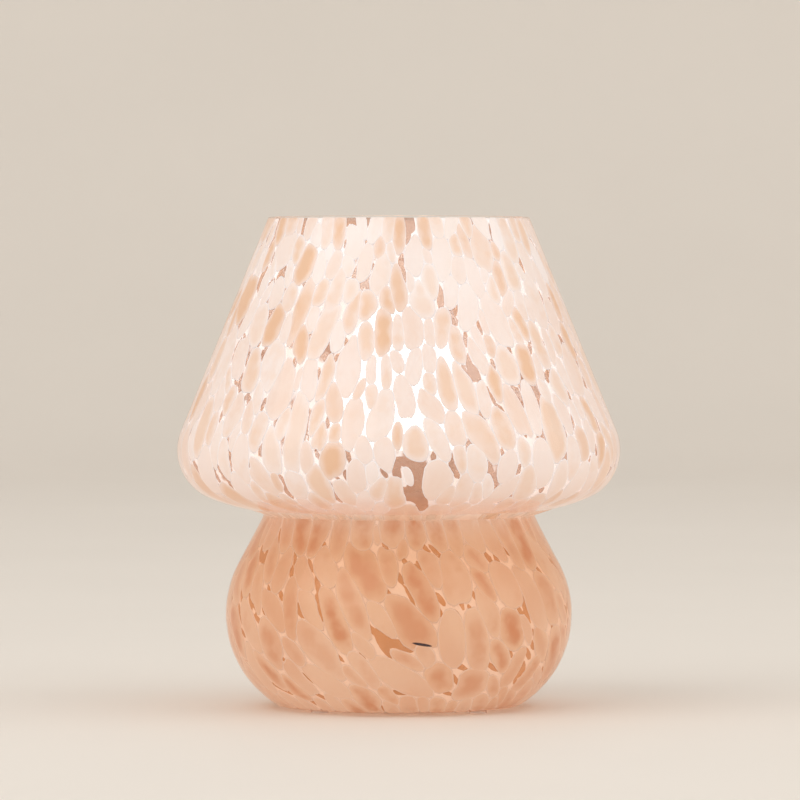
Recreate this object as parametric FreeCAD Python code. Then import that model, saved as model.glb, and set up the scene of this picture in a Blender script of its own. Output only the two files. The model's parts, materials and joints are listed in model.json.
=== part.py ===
import FreeCAD, Part

import math
import os

# Mushroom table lamp: one blown glass body, open at the top, with an E27 lampholder
# on a threaded tube through its floor and an LED bulb screwed into the holder.
# Millimetres, +Z up, origin on the table under the lamp's axis. The back is +Y.

# --- Glass body, outer profile --------------------------------------------------
HEIGHT = 243.0            # table to rim
RIM_R = 64.7              # outer radius of the open rim
RIM_ROUND = 0.8           # fire-polished edges of the rim
CAP_R = 110.0             # widest radius of the mushroom cap
CAP_Z = 127.5             # height of that widest line
SHOULDER_ROUND = 25.5     # arc from the cone round to the underside
UNDERSIDE_ROUND = 73.5    # flatter arc from the shoulder to the waist
UNDERSIDE_TURN = 65.0     # degrees below level where the two arcs meet
CREASE_ROUND = 2.5        # tight hollow at the waist
NECK_LEAN = 28.0          # degrees from upright of the straight run below the waist
BASE_R = 86.0             # widest radius of the base
BASE_Z = 46.3             # height of that widest line
BASE_ROUND = 52.8         # arc of the base, from the straight run to the foot
WALL = 3.5                # glass thickness
FLOOR = 5.0               # glass thickness at the floor
FOOT_ROUND = 3.0          # outer edge of the foot
FLOOR_ROUND = 6.0         # inner corner between wall and floor
FOOT_INNER_R = 50.0       # inside edge of the flat foot ring
PUNT_R = 26.0             # flat middle of the pushed-up floor
PUNT_RISE = 9.0           # height of the pushed-up floor above the foot ring

# --- Feet -----------------------------------------------------------------------
PAD_COUNT = 4
PAD_R = 4.4
PAD_THICK = 1.2

# --- Clearances -----------------------------------------------------------------
SLIP = 0.05               # shaft in a bore
LOOSE = 0.25              # bolt or tube in a drilled hole
APART = 0.3               # pieces of different bodies
SAME = 0.001              # sizes closer than this are equal

# --- Cord outlet ----------------------------------------------------------------
OUTLET_Z = 46.3           # where the outlet's axis meets the wall: upright there, so the hole is level
CORD_BORE_R = 3.4
GROMMET_NECK_R = 5.0
GROMMET_FLANGE_R = 7.0
GROMMET_FLANGE = 2.0
GROMMET_BEDDING = 0.5     # room that the flat flanges need on the curved wall

# --- Threaded tube and clamping hardware ------------------------------------------
TUBE_R = 5.0
TUBE_BORE_R = 3.5
TUBE_STICKS_OUT = 1.2     # below the nut
NUT_SIDES = 6
NUT_ACROSS_FLATS = 14.0
NUT_THICK = 3.0
NUT_CHAMFER = 0.6
WASHER_R = 13.0
WASHER_THICK = 1.2
GASKET_THICK = 1.0
LOWER_GASKET_R = 14.0
UPPER_GASKET_R = 18.0
SPREADER_R = 22.0
SPREADER_THICK = 2.0
SLEEVE_R = 7.5
SLEEVE_BORE_R = 6.2
SLEEVE_LENGTH = 23.8
SLEEVE_FLANGE_R = 11.0
SLEEVE_FLANGE = 1.5

# --- Lampholder -------------------------------------------------------------------
HOLDER_R = 19.5
HOLDER_WALL = 1.8
BOSS_R = 8.5
BOSS_LENGTH = 5.0
CUP_FLARE = 4.5           # height of the cone from boss to full radius
CUP_STRAIGHT = 6.5        # straight outside wall of the cup
CUP_FLOOR = 2.4
CUP_SPIGOT = 5.0          # threaded neck that enters the skirt
TUBE_ENGAGEMENT = 6.0     # how far the tube enters the cup
GRUB_R = 1.5
GRUB_LENGTH = 3.6
GRUB_SOCKET_R = 0.7
GRUB_SOCKET = 1.5
CORE_R = 15.7
CORE_THICK = 12.0
CORE_LEDGE = 1.7          # radial width of the ledge the core sits on
CORE_SEAT_RISE = 1.4      # ledge above the cup's flared floor
SKIRT_TOP_R = 18.2        # the skirt draws in a little towards its top
SKIRT_TOP_LIP = 2.4
SKIRT_OVER_SHELL = 1.2    # skirt above the end of the screw shell
SKIRT_BORE_R = 14.7
SKIRT_RIDGES = 5
SKIRT_RIDGE = 0.5

# --- Edison thread E27 --------------------------------------------------------------
PITCH = 3.629
THREAD_MEAN_R = 12.65     # bulb cap, between crest and root
THREAD_SWING = 0.55       # half of the thread's depth
THREAD_CLEARANCE = 0.2
THREAD_STEPS = 12         # sections per turn
SHEET = 0.45              # brass sheet
SHELL_FLANGE = 0.8
SHELL_FLANGE_BORE_R = 10.5
SHELL_LEAD = 1.6          # plain wall between flange and thread
SHELL_THREAD = 19.2       # length of the holder's thread
SHELL_LIP = 0.8

# --- Centre contact -----------------------------------------------------------------
PLUNGER_R = 2.6
PLUNGER_HEAD_R = 3.6
PLUNGER_HEAD = 0.6
PLUNGER_TRAVEL = 1.0
PLUNGER_SHANK = 4.0
PLUNGER_WELL = 9.5        # depth of its bore in the core
SPRING_R = 2.1
SPRING_WIRE_R = 0.25
SPRING_TURNS = 5.0

# --- Terminals ------------------------------------------------------------------------
TERMINAL_OUT = 9.5        # distance from the axis
TERMINAL_WIDE = 5.0
TERMINAL_TALL = 7.0
TERMINAL_SCREW_R = 1.25
WIRE_HOLE_R = 1.3
STRIP_THICK = 0.5
STRIP_WIDE = 3.0

# --- Bulb -------------------------------------------------------------------------------
TIP_R = 4.75
TIP_HEIGHT = 1.4
TIP_STEM_R = 1.4
TIP_STEM = 2.6
INSULATOR_LOW_R = 5.6
INSULATOR_R = 10.0
INSULATOR_HEIGHT = 3.8
CAP_CONE = 2.6            # from the insulator out to the thread
CAP_THREAD = 13.5
CAP_COLLAR = 3.0
CAP_COLLAR_R = 13.1
HOUSING_NECK_R = 14.6
HOUSING_NECK = 5.0
HOUSING_RIM_R = 31.0
HOUSING_HEIGHT = 37.0
HOUSING_BELLY = 55.0      # radius of the flared side
HOUSING_WALL = 1.6
RIB_COUNT = 4
RIB_PITCH = 2.6
RIB_PROUD = 0.9
RIB_FIRST = 6.5           # first rib above the housing's foot
SINK_WALL = 1.2
SINK_FOOT = 11.0          # sink starts this far above the housing's foot
BOARD_R = 26.0
BOARD_THICK = 1.6
CHIP_LONG = 3.5
CHIP_WIDE = 2.8
CHIP_THICK = 0.7
CHIP_RINGS = ((19.0, 12), (9.0, 6))
DRIVER_WIDE = 16.0
DRIVER_TALL = 42.0
DRIVER_THICK = 1.6
CAPACITOR_R = 4.0
CAPACITOR_TALL = 13.0
COIL_R = 3.2
COIL_TALL = 9.0
RECTIFIER = (4.0, 2.2, 4.6)
DOME_R = 34.0
DOME_LIP_R = 31.5
DOME_WIDEST = 12.0        # widest line above the dome's lower edge
DOME_CROWN = 60.0         # crown above the widest line
DOME_WALL = 1.4

# --- Levels that follow from the sizes above ---------------------------------------------
foot_z = PAD_THICK
punt_z = foot_z + PUNT_RISE
floor_z = punt_z + FLOOR
tube_hole_r = TUBE_R + LOOSE

washer_z = punt_z - GASKET_THICK - WASHER_THICK
nut_z = washer_z - NUT_THICK
tube_low_z = nut_z - TUBE_STICKS_OUT
spreader_z = floor_z + GASKET_THICK
sleeve_z = spreader_z + SPREADER_THICK
cup_z = sleeve_z + SLEEVE_LENGTH
tube_top_z = cup_z + TUBE_ENGAGEMENT

cup_shoulder_z = cup_z + BOSS_LENGTH + CUP_FLARE
cup_rim_z = cup_shoulder_z + CUP_STRAIGHT
core_z = cup_shoulder_z + CORE_SEAT_RISE
core_top_z = core_z + CORE_THICK
shell_thread_z = core_top_z + SHELL_FLANGE + SHELL_LEAD
shell_thread_top_z = shell_thread_z + SHELL_THREAD
shell_top_z = shell_thread_top_z + SHELL_LIP
skirt_top_z = shell_top_z + SKIRT_OVER_SHELL

plunger_top_z = core_top_z + PLUNGER_TRAVEL + PLUNGER_HEAD + SLIP
tip_z = plunger_top_z + APART
insulator_z = tip_z + TIP_HEIGHT
cap_z = insulator_z + INSULATOR_HEIGHT / 2
cap_thread_z = insulator_z + INSULATOR_HEIGHT + CAP_CONE
cap_collar_z = cap_thread_z + CAP_THREAD
housing_z = cap_collar_z + CAP_COLLAR
dome_z = housing_z + HOUSING_HEIGHT
driver_z = insulator_z + INSULATOR_HEIGHT + SLIP

grub_z = cup_z + BOSS_LENGTH / 2
cup_bore_r = HOLDER_R - HOLDER_WALL
spigot_r = cup_bore_r - SLIP
strip_y = TERMINAL_OUT + TERMINAL_WIDE / 2 + STRIP_THICK / 2 + 2 * SLIP


def point(r, z):
    """A point of the half plane y = 0."""
    return FreeCAD.Vector(r, 0, z)


def polar(length, degrees):
    """A vector of the half plane y = 0, at an angle above level."""
    turn = math.radians(degrees)
    return point(length * math.cos(turn), length * math.sin(turn))


def unit(vector):
    return vector / vector.Length


def line(start, end):
    return Part.LineSegment(start, end).toShape()


def arc(start, end, centre):
    """The shorter arc from start to end about a centre."""
    radius = (start - centre).Length
    middle = centre + unit((start - centre) + (end - centre)) * radius
    return Part.Arc(start, middle, end).toShape()


def path(points):
    """Straight edges through (r, z) pairs."""
    ends = [point(r, z) for r, z in points]
    return [line(a, b) for a, b in zip(ends, ends[1:])]


def turned(edges):
    """The solid of revolution of a closed profile about the lamp's axis."""
    face = Part.Face(Part.Wire(Part.__sortEdges__(edges)))
    return face.revolve(point(0, 0), FreeCAD.Vector(0, 0, 1), 360)


def turned_points(points):
    return turned(path(points + points[:1]))


def rod(r, low, high, x=0.0, y=0.0):
    return Part.makeCylinder(r, high - low, FreeCAD.Vector(x, y, low))


def ring(r, bore_r, low, high):
    return rod(r, low, high).cut(rod(bore_r, low, high))


def block(size_x, size_y, size_z, x, y, low):
    corner = FreeCAD.Vector(x - size_x / 2, y - size_y / 2, low)
    return Part.makeBox(size_x, size_y, size_z, corner)


def around(shape, count, start=0.0):
    """Equal copies of a shape, evenly spaced about the lamp's axis."""
    copies = []
    for index in range(count):
        copy = shape.copy()
        copy.rotate(FreeCAD.Vector(0, 0, 0), FreeCAD.Vector(0, 0, 1), start + 360 * index / count)
        copies.append(copy)
    return copies


def group(solids):
    return Part.makeCompound(solids)


def round_edges(shape, radius, z):
    """The circular edges of a given radius at a height."""
    return [
        edge
        for edge in shape.Edges
        if isinstance(edge.Curve, Part.Circle)
        and abs(edge.Curve.Radius - radius) < SAME
        and abs(edge.Curve.Center.z - z) < SAME
    ]


# --- Glass ------------------------------------------------------------------------------

def rim_and_wall(inset, level, corner):
    """The glass profile from rim to floor, moved inward by inset. It ends level at the
    foot's or floor's height, after a corner of the given radius. All arcs are tangent."""
    shoulder = point(CAP_R - SHOULDER_ROUND, CAP_Z)
    rim = point(RIM_R, HEIGHT)
    to_rim = rim - shoulder
    cone_angle = math.degrees(
        math.atan2(to_rim.z, to_rim.x) - math.acos(SHOULDER_ROUND / to_rim.Length)
    )
    rim_inset = inset / math.cos(math.radians(cone_angle))
    top = rim - point(rim_inset, 0)
    cone_end = shoulder + polar(SHOULDER_ROUND - inset, cone_angle)
    shoulder_end = shoulder + polar(SHOULDER_ROUND - inset, -UNDERSIDE_TURN)

    under = shoulder - polar(UNDERSIDE_ROUND - SHOULDER_ROUND, -UNDERSIDE_TURN)
    base = point(BASE_R - BASE_ROUND, BASE_Z)
    out, up = polar(1, NECK_LEAN), polar(1, NECK_LEAN + 90)
    reach = UNDERSIDE_ROUND + CREASE_ROUND
    across = (base - under).dot(out) + BASE_ROUND + CREASE_ROUND
    crease = under + out * across - up * math.sqrt(reach**2 - across**2)
    under_end = under + unit(crease - under) * (UNDERSIDE_ROUND - inset)
    crease_end = crease - out * (CREASE_ROUND + inset)
    neck_end = base + out * (BASE_ROUND - inset)

    drop = level + corner - BASE_Z
    side = math.sqrt((BASE_ROUND - inset - corner) ** 2 - drop**2)
    heel = point(base.x + side, level + corner)
    base_end = base + unit(heel - base) * (BASE_ROUND - inset)
    foot = point(heel.x, level)
    return top, foot, [
        line(top, cone_end),
        arc(cone_end, shoulder_end, shoulder),
        arc(shoulder_end, under_end, under),
        arc(under_end, crease_end, crease),
        line(crease_end, neck_end),
        arc(neck_end, base_end, base),
        arc(base_end, foot, heel),
    ]


def punt(level):
    """The S-curve from the foot ring up to the flat middle of the floor."""
    width = FOOT_INNER_R - PUNT_R
    bend = (width**2 + PUNT_RISE**2) / (4 * PUNT_RISE)
    low = point(FOOT_INNER_R, level)
    high = point(PUNT_R, level + PUNT_RISE)
    middle = (low + high) / 2
    return low, high, [
        arc(low, middle, low + point(0, bend)),
        arc(middle, high, high - point(0, bend)),
    ]


def wall_point(z):
    """A point on the outside of the base at a height, and the wall's normal there."""
    base = point(BASE_R - BASE_ROUND, BASE_Z)
    angle = math.degrees(math.asin((z - BASE_Z) / BASE_ROUND))
    return base + polar(BASE_ROUND, angle), polar(1, angle)


def to_the_back(shape):
    """Turns a shape made over +X round to the lamp's back."""
    shape.rotate(FreeCAD.Vector(0, 0, 0), FreeCAD.Vector(0, 0, 1), 90)
    return shape


def outlet_rod(r, inside, outside):
    """A rod along the cord outlet's axis, between two distances from the outer wall."""
    start, normal = wall_point(OUTLET_Z)
    solid = Part.makeCylinder(r, outside - inside, start + normal * inside, normal)
    return to_the_back(solid)


def glass_body():
    outer_top, outer_foot, outer = rim_and_wall(0, foot_z, FOOT_ROUND)
    inner_top, inner_foot, inner = rim_and_wall(WALL, foot_z + FLOOR, FLOOR_ROUND)
    low, high, outer_punt = punt(foot_z)
    inner_low, inner_high, inner_punt = punt(foot_z + FLOOR)
    hole_low, hole_high = point(tube_hole_r, punt_z), point(tube_hole_r, floor_z)
    floor = [
        line(outer_foot, low),
        line(high, hole_low),
        line(hole_low, hole_high),
        line(hole_high, inner_high),
        line(inner_low, inner_foot),
        line(inner_top, outer_top),
    ]
    glass = turned(outer + outer_punt + inner + inner_punt + floor)
    rim_edges = round_edges(glass, outer_top.x, HEIGHT) + round_edges(glass, inner_top.x, HEIGHT)
    glass = glass.makeFillet(RIM_ROUND, rim_edges)
    drill = outlet_rod(GROMMET_NECK_R + LOOSE, -4 * WALL, 4 * WALL)
    return glass.cut(drill)


def foot_pads():
    _, outer_foot, _ = rim_and_wall(0, foot_z, FOOT_ROUND)
    middle_r = (FOOT_INNER_R + outer_foot.x) / 2
    pad = rod(PAD_R, 0, PAD_THICK, middle_r)
    return group(around(pad, PAD_COUNT, 180 / PAD_COUNT))


def cord_grommet():
    outer_face = GROMMET_BEDDING + GROMMET_FLANGE
    inner_face = -WALL - GROMMET_BEDDING - GROMMET_FLANGE
    neck = outlet_rod(GROMMET_NECK_R, inner_face, outer_face)
    outer_flange = outlet_rod(GROMMET_FLANGE_R, GROMMET_BEDDING, outer_face)
    inner_flange = outlet_rod(GROMMET_FLANGE_R, inner_face, -WALL - GROMMET_BEDDING)
    bore = outlet_rod(CORD_BORE_R, inner_face, outer_face)
    return neck.fuse([outer_flange, inner_flange]).removeSplitter().cut(bore)


# --- Tube and clamping hardware -----------------------------------------------------------

def base_nut():
    corner_r = NUT_ACROSS_FLATS / 2 / math.cos(math.pi / NUT_SIDES)
    turns = [2 * math.pi * index / NUT_SIDES for index in range(NUT_SIDES + 1)]
    corners = [FreeCAD.Vector(corner_r * math.cos(t), corner_r * math.sin(t), nut_z) for t in turns]
    prism = Part.Face(Part.makePolygon(corners)).extrude(FreeCAD.Vector(0, 0, NUT_THICK))
    low_r = NUT_ACROSS_FLATS / 2
    chamfered = turned_points([
        (0, nut_z),
        (low_r, nut_z),
        (low_r + 2 * NUT_CHAMFER, nut_z + NUT_CHAMFER),
        (low_r + 2 * NUT_CHAMFER, nut_z + NUT_THICK),
        (0, nut_z + NUT_THICK),
    ])
    bore = rod(TUBE_R + SLIP, nut_z, washer_z)
    return prism.common(chamfered).cut(bore)


def base_washer():
    return ring(WASHER_R, tube_hole_r, washer_z, washer_z + WASHER_THICK)


def lower_gasket():
    return ring(LOWER_GASKET_R, tube_hole_r, punt_z - GASKET_THICK, punt_z)


def upper_gasket():
    return ring(UPPER_GASKET_R, tube_hole_r, floor_z, spreader_z)


def spreader_plate():
    plate = ring(SPREADER_R, tube_hole_r, spreader_z, sleeve_z)
    return plate.makeFillet(SPREADER_THICK / 2, round_edges(plate, SPREADER_R, sleeve_z))


def threaded_tube():
    return ring(TUBE_R, TUBE_BORE_R, tube_low_z, tube_top_z)


def stem_sleeve():
    body = ring(SLEEVE_R, SLEEVE_BORE_R, sleeve_z, cup_z)
    flange = ring(SLEEVE_FLANGE_R, SLEEVE_BORE_R, sleeve_z, sleeve_z + SLEEVE_FLANGE)
    collar = ring(SLEEVE_R, tube_hole_r, cup_z - SLEEVE_FLANGE, cup_z)
    return body.fuse([flange, collar]).removeSplitter()


# --- Lampholder -----------------------------------------------------------------------------

def holder_cup():
    flare_z = cup_z + BOSS_LENGTH
    ledge_r = CORE_R - CORE_LEDGE
    seat_r = CORE_R + SLIP
    cup = turned_points([
        (TUBE_R + SLIP, cup_z),
        (BOSS_R, cup_z),
        (BOSS_R, flare_z),
        (HOLDER_R, cup_shoulder_z),
        (HOLDER_R, cup_rim_z),
        (spigot_r, cup_rim_z),
        (spigot_r, cup_rim_z + CUP_SPIGOT),
        (seat_r, cup_rim_z + CUP_SPIGOT),
        (seat_r, core_z),
        (ledge_r, core_z),
        (ledge_r, cup_shoulder_z),
        (BOSS_R, flare_z + CUP_FLOOR / 2),
        (TUBE_R + SLIP, flare_z + CUP_FLOOR / 2),
    ])
    grub_hole = Part.makeCylinder(
        GRUB_R + SLIP, BOSS_R, FreeCAD.Vector(0, 0, grub_z), FreeCAD.Vector(0, -1, 0)
    )
    return cup.cut(grub_hole)


def holder_grub_screw():
    start = FreeCAD.Vector(0, -TUBE_R - SLIP, grub_z)
    outward = FreeCAD.Vector(0, -1, 0)
    screw = Part.makeCylinder(GRUB_R, GRUB_LENGTH, start, outward)
    socket_start = start + outward * (GRUB_LENGTH - GRUB_SOCKET)
    return screw.cut(Part.makeCylinder(GRUB_SOCKET_R, GRUB_SOCKET, socket_start, outward))


def terminal_pockets(room):
    """The two blocks that clamp the wires, or with room the pockets that hold them."""
    width = TERMINAL_WIDE + 2 * room
    pocket = block(width, width, TERMINAL_TALL + room, TERMINAL_OUT, 0, core_z)
    return around(pocket, 2, 90)


def holder_core():
    body = rod(CORE_R, core_z, core_top_z)
    well = rod(PLUNGER_R + SLIP, core_top_z - PLUNGER_WELL, core_top_z)
    wire_way = rod(TUBE_BORE_R, core_z, core_z + (CORE_THICK - PLUNGER_WELL) / 2)
    slot = block(STRIP_WIDE + 2 * SLIP, STRIP_THICK + 2 * SLIP, CORE_THICK, 0, strip_y, core_z)
    tools = [well, wire_way, slot] + terminal_pockets(SLIP)
    return body.cut(tools)


def holder_terminals():
    blocks = terminal_pockets(0)
    wire_hole = Part.makeCylinder(
        WIRE_HOLE_R,
        TERMINAL_TALL,
        FreeCAD.Vector(TERMINAL_OUT, 0, core_z - SLIP),
        FreeCAD.Vector(0, 0, 1),
    )
    screw_hole = Part.makeCylinder(
        TERMINAL_SCREW_R,
        TERMINAL_WIDE / 2,
        FreeCAD.Vector(TERMINAL_OUT, 0, core_z + TERMINAL_TALL / 2),
        FreeCAD.Vector(-1, 0, 0),
    )
    wires, screws = around(wire_hole, 2, 90), around(screw_hole, 2, 90)
    return group([b.cut([w, s]) for b, w, s in zip(blocks, wires, screws)])


def terminal_screws():
    start = FreeCAD.Vector(TERMINAL_OUT - WIRE_HOLE_R - SLIP, 0, core_z + TERMINAL_TALL / 2)
    length = TERMINAL_WIDE / 2 - WIRE_HOLE_R
    screw = Part.makeCylinder(TERMINAL_SCREW_R - SLIP, length, start, FreeCAD.Vector(-1, 0, 0))
    return group(around(screw, 2, 90))


def side_contact():
    """A brass strip beside its terminal, up through the core to the screw shell's flange."""
    tall = CORE_THICK - STRIP_THICK
    return block(STRIP_WIDE, STRIP_THICK, tall, 0, strip_y, core_z + STRIP_THICK)


def contact_plunger():
    head_z = plunger_top_z - PLUNGER_HEAD
    head = rod(PLUNGER_HEAD_R, head_z, plunger_top_z)
    head = head.makeFillet(PLUNGER_HEAD / 2, round_edges(head, PLUNGER_HEAD_R, plunger_top_z))
    shank = rod(PLUNGER_R, core_top_z - PLUNGER_SHANK, head_z)
    return head.fuse(shank).removeSplitter()


def plunger_spring():
    low = core_top_z - PLUNGER_WELL + SPRING_WIRE_R
    high = core_top_z - PLUNGER_SHANK - SPRING_WIRE_R
    helix = Part.makeHelix((high - low) / SPRING_TURNS, high - low, SPRING_R)
    circle = Part.Circle(point(SPRING_R, 0), FreeCAD.Vector(0, 1, 0), SPRING_WIRE_R).toShape()
    spring = Part.Wire(helix.Edges).makePipeShell([Part.Wire(circle)], True, True)
    spring.translate(FreeCAD.Vector(0, 0, low))
    return spring


def round_thread(mean_r, end_r, low, high):
    """A one-start round thread as a solid: level circles whose centres climb a helix.
    Over half a turn at each end the swing fades and the radius runs out to end_r, so that
    a male thread ends at its root and a female one at its crest."""
    count = round((high - low) / PITCH * THREAD_STEPS)
    sections = []
    for index in range(count + 1):
        z = low + (high - low) * index / count
        inward = min(z - low, high - z) / (PITCH / 2)
        share = math.sin(math.pi / 2 * min(1, inward)) ** 2
        turn = 2 * math.pi * z / PITCH
        swing = THREAD_SWING * share
        centre = FreeCAD.Vector(swing * math.cos(turn), swing * math.sin(turn), z)
        radius = end_r + (mean_r - end_r) * share
        circle = Part.Circle(centre, FreeCAD.Vector(0, 0, 1), radius)
        sections.append(Part.Wire(circle.toShape()))
    return Part.makeLoft(sections, True, False)


def screw_shell():
    """The holder's brass thread, spun from sheet, with a flange that sits on the core."""
    bore_r = THREAD_MEAN_R + THREAD_CLEARANCE
    crest_r = bore_r + THREAD_SWING
    outside = round_thread(bore_r + SHEET, crest_r + SHEET, shell_thread_z, shell_thread_top_z)
    inside = round_thread(bore_r, crest_r, shell_thread_z, shell_thread_top_z)
    flange = ring(crest_r + SHEET, SHELL_FLANGE_BORE_R, core_top_z, core_top_z + SHELL_FLANGE)
    lead = ring(crest_r + SHEET, crest_r, core_top_z + SHELL_FLANGE, shell_thread_z)
    lip = ring(crest_r + SHEET, crest_r, shell_thread_top_z, shell_top_z)
    return outside.cut(inside).fuse([flange, lead, lip])


def holder_skirt():
    """The outer skirt. It screws over the cup's neck and clamps the core's edge."""
    spigot_top = cup_rim_z + CUP_SPIGOT + SLIP
    lip_z = skirt_top_z - SKIRT_TOP_LIP
    skirt = turned_points([
        (cup_bore_r, cup_rim_z),
        (HOLDER_R, cup_rim_z),
        (SKIRT_TOP_R, lip_z),
        (SKIRT_TOP_R, skirt_top_z),
        (SKIRT_BORE_R, skirt_top_z),
        (SKIRT_BORE_R, core_top_z),
        (CORE_R + SLIP, core_top_z),
        (CORE_R + SLIP, spigot_top),
        (cup_bore_r, spigot_top),
    ])
    ridge_gap = (lip_z - spigot_top) / (SKIRT_RIDGES + 1)
    ridges = []
    for index in range(SKIRT_RIDGES):
        z = spigot_top + ridge_gap * (index + 1)
        ridges.append(ring(HOLDER_R + SKIRT_RIDGE / 2, SKIRT_TOP_R - SKIRT_RIDGE, z, z + 2 * SKIRT_RIDGE))
    return skirt.fuse(ridges).removeSplitter()


# --- Bulb -------------------------------------------------------------------------------------

def bulb_tip():
    button = rod(TIP_R, tip_z, insulator_z - SLIP)
    button = button.makeFillet(TIP_HEIGHT / 2, round_edges(button, TIP_R, tip_z))
    return button.fuse(rod(TIP_STEM_R, insulator_z - SLIP, insulator_z + TIP_STEM)).removeSplitter()


def bulb_insulator():
    top = insulator_z + INSULATOR_HEIGHT
    bore_r = TIP_STEM_R + SLIP
    return turned_points([
        (bore_r, insulator_z),
        (INSULATOR_LOW_R, insulator_z),
        (INSULATOR_R, cap_z),
        (INSULATOR_R, top),
        (bore_r, top),
    ])


def bulb_cap():
    """The bulb's threaded shell, from the insulator up to the collar under the housing."""
    root_r = THREAD_MEAN_R - THREAD_SWING
    outside = round_thread(THREAD_MEAN_R, root_r, cap_thread_z, cap_collar_z)
    inside = round_thread(THREAD_MEAN_R - SHEET, root_r - SHEET, cap_thread_z, cap_collar_z)
    foot_r = INSULATOR_R + SHEET
    foot = turned_points([
        (INSULATOR_R, cap_z),
        (foot_r, cap_z),
        (foot_r, cap_thread_z - CAP_CONE),
        (root_r, cap_thread_z),
        (root_r - SHEET, cap_thread_z),
        (foot_r - SHEET, cap_thread_z - CAP_CONE),
    ])
    collar = turned_points([
        (root_r - SHEET, cap_collar_z),
        (root_r, cap_collar_z),
        (CAP_COLLAR_R, cap_collar_z + SHEET),
        (CAP_COLLAR_R, housing_z),
        (root_r - SHEET, housing_z),
    ])
    return outside.cut(inside).fuse([foot, collar])


def housing_flare():
    """The neck, the rim and the centre of the arc between them, on the housing's outside."""
    neck = point(HOUSING_NECK_R, housing_z + HOUSING_NECK)
    rim = point(HOUSING_RIM_R, dome_z)
    chord = rim - neck
    across = unit(point(-chord.z, chord.x))
    return neck, rim, (neck + rim) / 2 + across * math.sqrt(HOUSING_BELLY**2 - (chord.Length / 2) ** 2)


def housing_side(inset, low):
    """The housing's side from its neck to its rim, moved inward by inset."""
    neck, rim, centre = housing_flare()
    shift = point(inset, 0)
    start = point(HOUSING_NECK_R - inset, low)
    return start, rim - shift, [
        line(start, neck - shift),
        arc(neck - shift, rim - shift, centre - shift),
    ]


def housing_r(z):
    """Outer radius of the housing at a height."""
    neck, _, centre = housing_flare()
    if z <= neck.z:
        return HOUSING_NECK_R
    return centre.x + math.sqrt(HOUSING_BELLY**2 - (z - centre.z) ** 2)


def bulb_housing():
    outer_low, outer_rim, outer = housing_side(0, housing_z)
    inner_low, inner_rim, inner = housing_side(HOUSING_WALL, housing_z + HOUSING_WALL)
    seat = point(CAP_COLLAR_R - HOUSING_WALL, housing_z)
    seat_top = point(seat.x, inner_low.z)
    closing = [line(outer_low, seat), line(seat, seat_top), line(seat_top, inner_low)]
    shell = turned(outer + inner + closing + [line(outer_rim, inner_rim)])
    ribs = []
    for index in range(RIB_COUNT):
        z = housing_z + RIB_FIRST + RIB_PITCH * index
        ribs.append(turned_points([
            (housing_r(z) - HOUSING_WALL / 2, z),
            (housing_r(z) + RIB_PROUD, z),
            (housing_r(z + RIB_PITCH / 2) + RIB_PROUD / 2, z + RIB_PITCH / 2),
            (housing_r(z + RIB_PITCH / 2) - HOUSING_WALL / 2, z + RIB_PITCH / 2),
        ]))
    return shell.fuse(ribs).removeSplitter()


def bulb_heat_sink():
    """An aluminium cup pressed against the inside of the housing, closed by the board."""
    cores = []
    for inset in (HOUSING_WALL + SLIP, HOUSING_WALL + SLIP + SINK_WALL):
        start, rim, side = housing_side(inset, housing_z)
        closing = path([(rim.x, rim.z), (0, rim.z), (0, start.z), (start.x, start.z)])
        cores.append(turned(side + closing))
    trim = rod(HOUSING_RIM_R, housing_z + SINK_FOOT, dome_z - BOARD_THICK)
    cup = cores[0].cut(cores[1]).common(trim)
    shelf_z = dome_z - BOARD_THICK - SINK_WALL
    shelf_r = housing_r(shelf_z) - HOUSING_WALL - SINK_WALL
    shelf = ring(shelf_r, DRIVER_WIDE / 2 + SINK_WALL, shelf_z, dome_z - BOARD_THICK)
    return cup.fuse(shelf).removeSplitter()


def led_board():
    return rod(BOARD_R, dome_z - BOARD_THICK, dome_z)


def led_chips():
    chips = []
    for ring_r, count in CHIP_RINGS:
        chip = block(CHIP_LONG, CHIP_WIDE, CHIP_THICK, ring_r, 0, dome_z)
        chips += around(chip, count)
    return group(chips)


def driver_board():
    return block(DRIVER_WIDE, DRIVER_THICK, DRIVER_TALL, 0, 0, driver_z)


def driver_parts():
    face_y = DRIVER_THICK / 2
    low = housing_z + RIB_FIRST
    capacitor = rod(CAPACITOR_R, low, low + CAPACITOR_TALL, -CAPACITOR_R, face_y + CAPACITOR_R)
    coil = rod(COIL_R, low, low + COIL_TALL, COIL_R, -face_y - COIL_R)
    wide, deep, tall = RECTIFIER
    rectifier = block(wide, deep, tall, wide, face_y + deep / 2, low)
    return group([capacitor, coil, rectifier])


def dome_profile(inset):
    """Half of the dome: an arc from the lip to the widest line, then a quarter ellipse."""
    widest = point(DOME_R - inset, dome_z + DOME_WIDEST)
    lip = point(DOME_LIP_R - inset, dome_z)
    sag = DOME_R - DOME_LIP_R
    bend = (sag**2 + DOME_WIDEST**2) / (2 * sag)
    centre = widest - point(bend, 0)
    crown_z = dome_z + DOME_WIDEST
    ellipse = Part.Ellipse(
        point(0, crown_z + DOME_CROWN - inset), point(DOME_R - inset, crown_z), point(0, crown_z)
    )
    quarter = Part.ArcOfEllipse(ellipse, 0, math.pi / 2)
    crown = point(0, crown_z + DOME_CROWN - inset)
    return lip, crown, [arc(lip, widest, centre), quarter.toShape()]


def bulb_dome():
    outer_lip, outer_crown, outer = dome_profile(0)
    inner_lip, inner_crown, inner = dome_profile(DOME_WALL)
    return turned(outer + inner + [line(outer_lip, inner_lip), line(outer_crown, inner_crown)])


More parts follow.
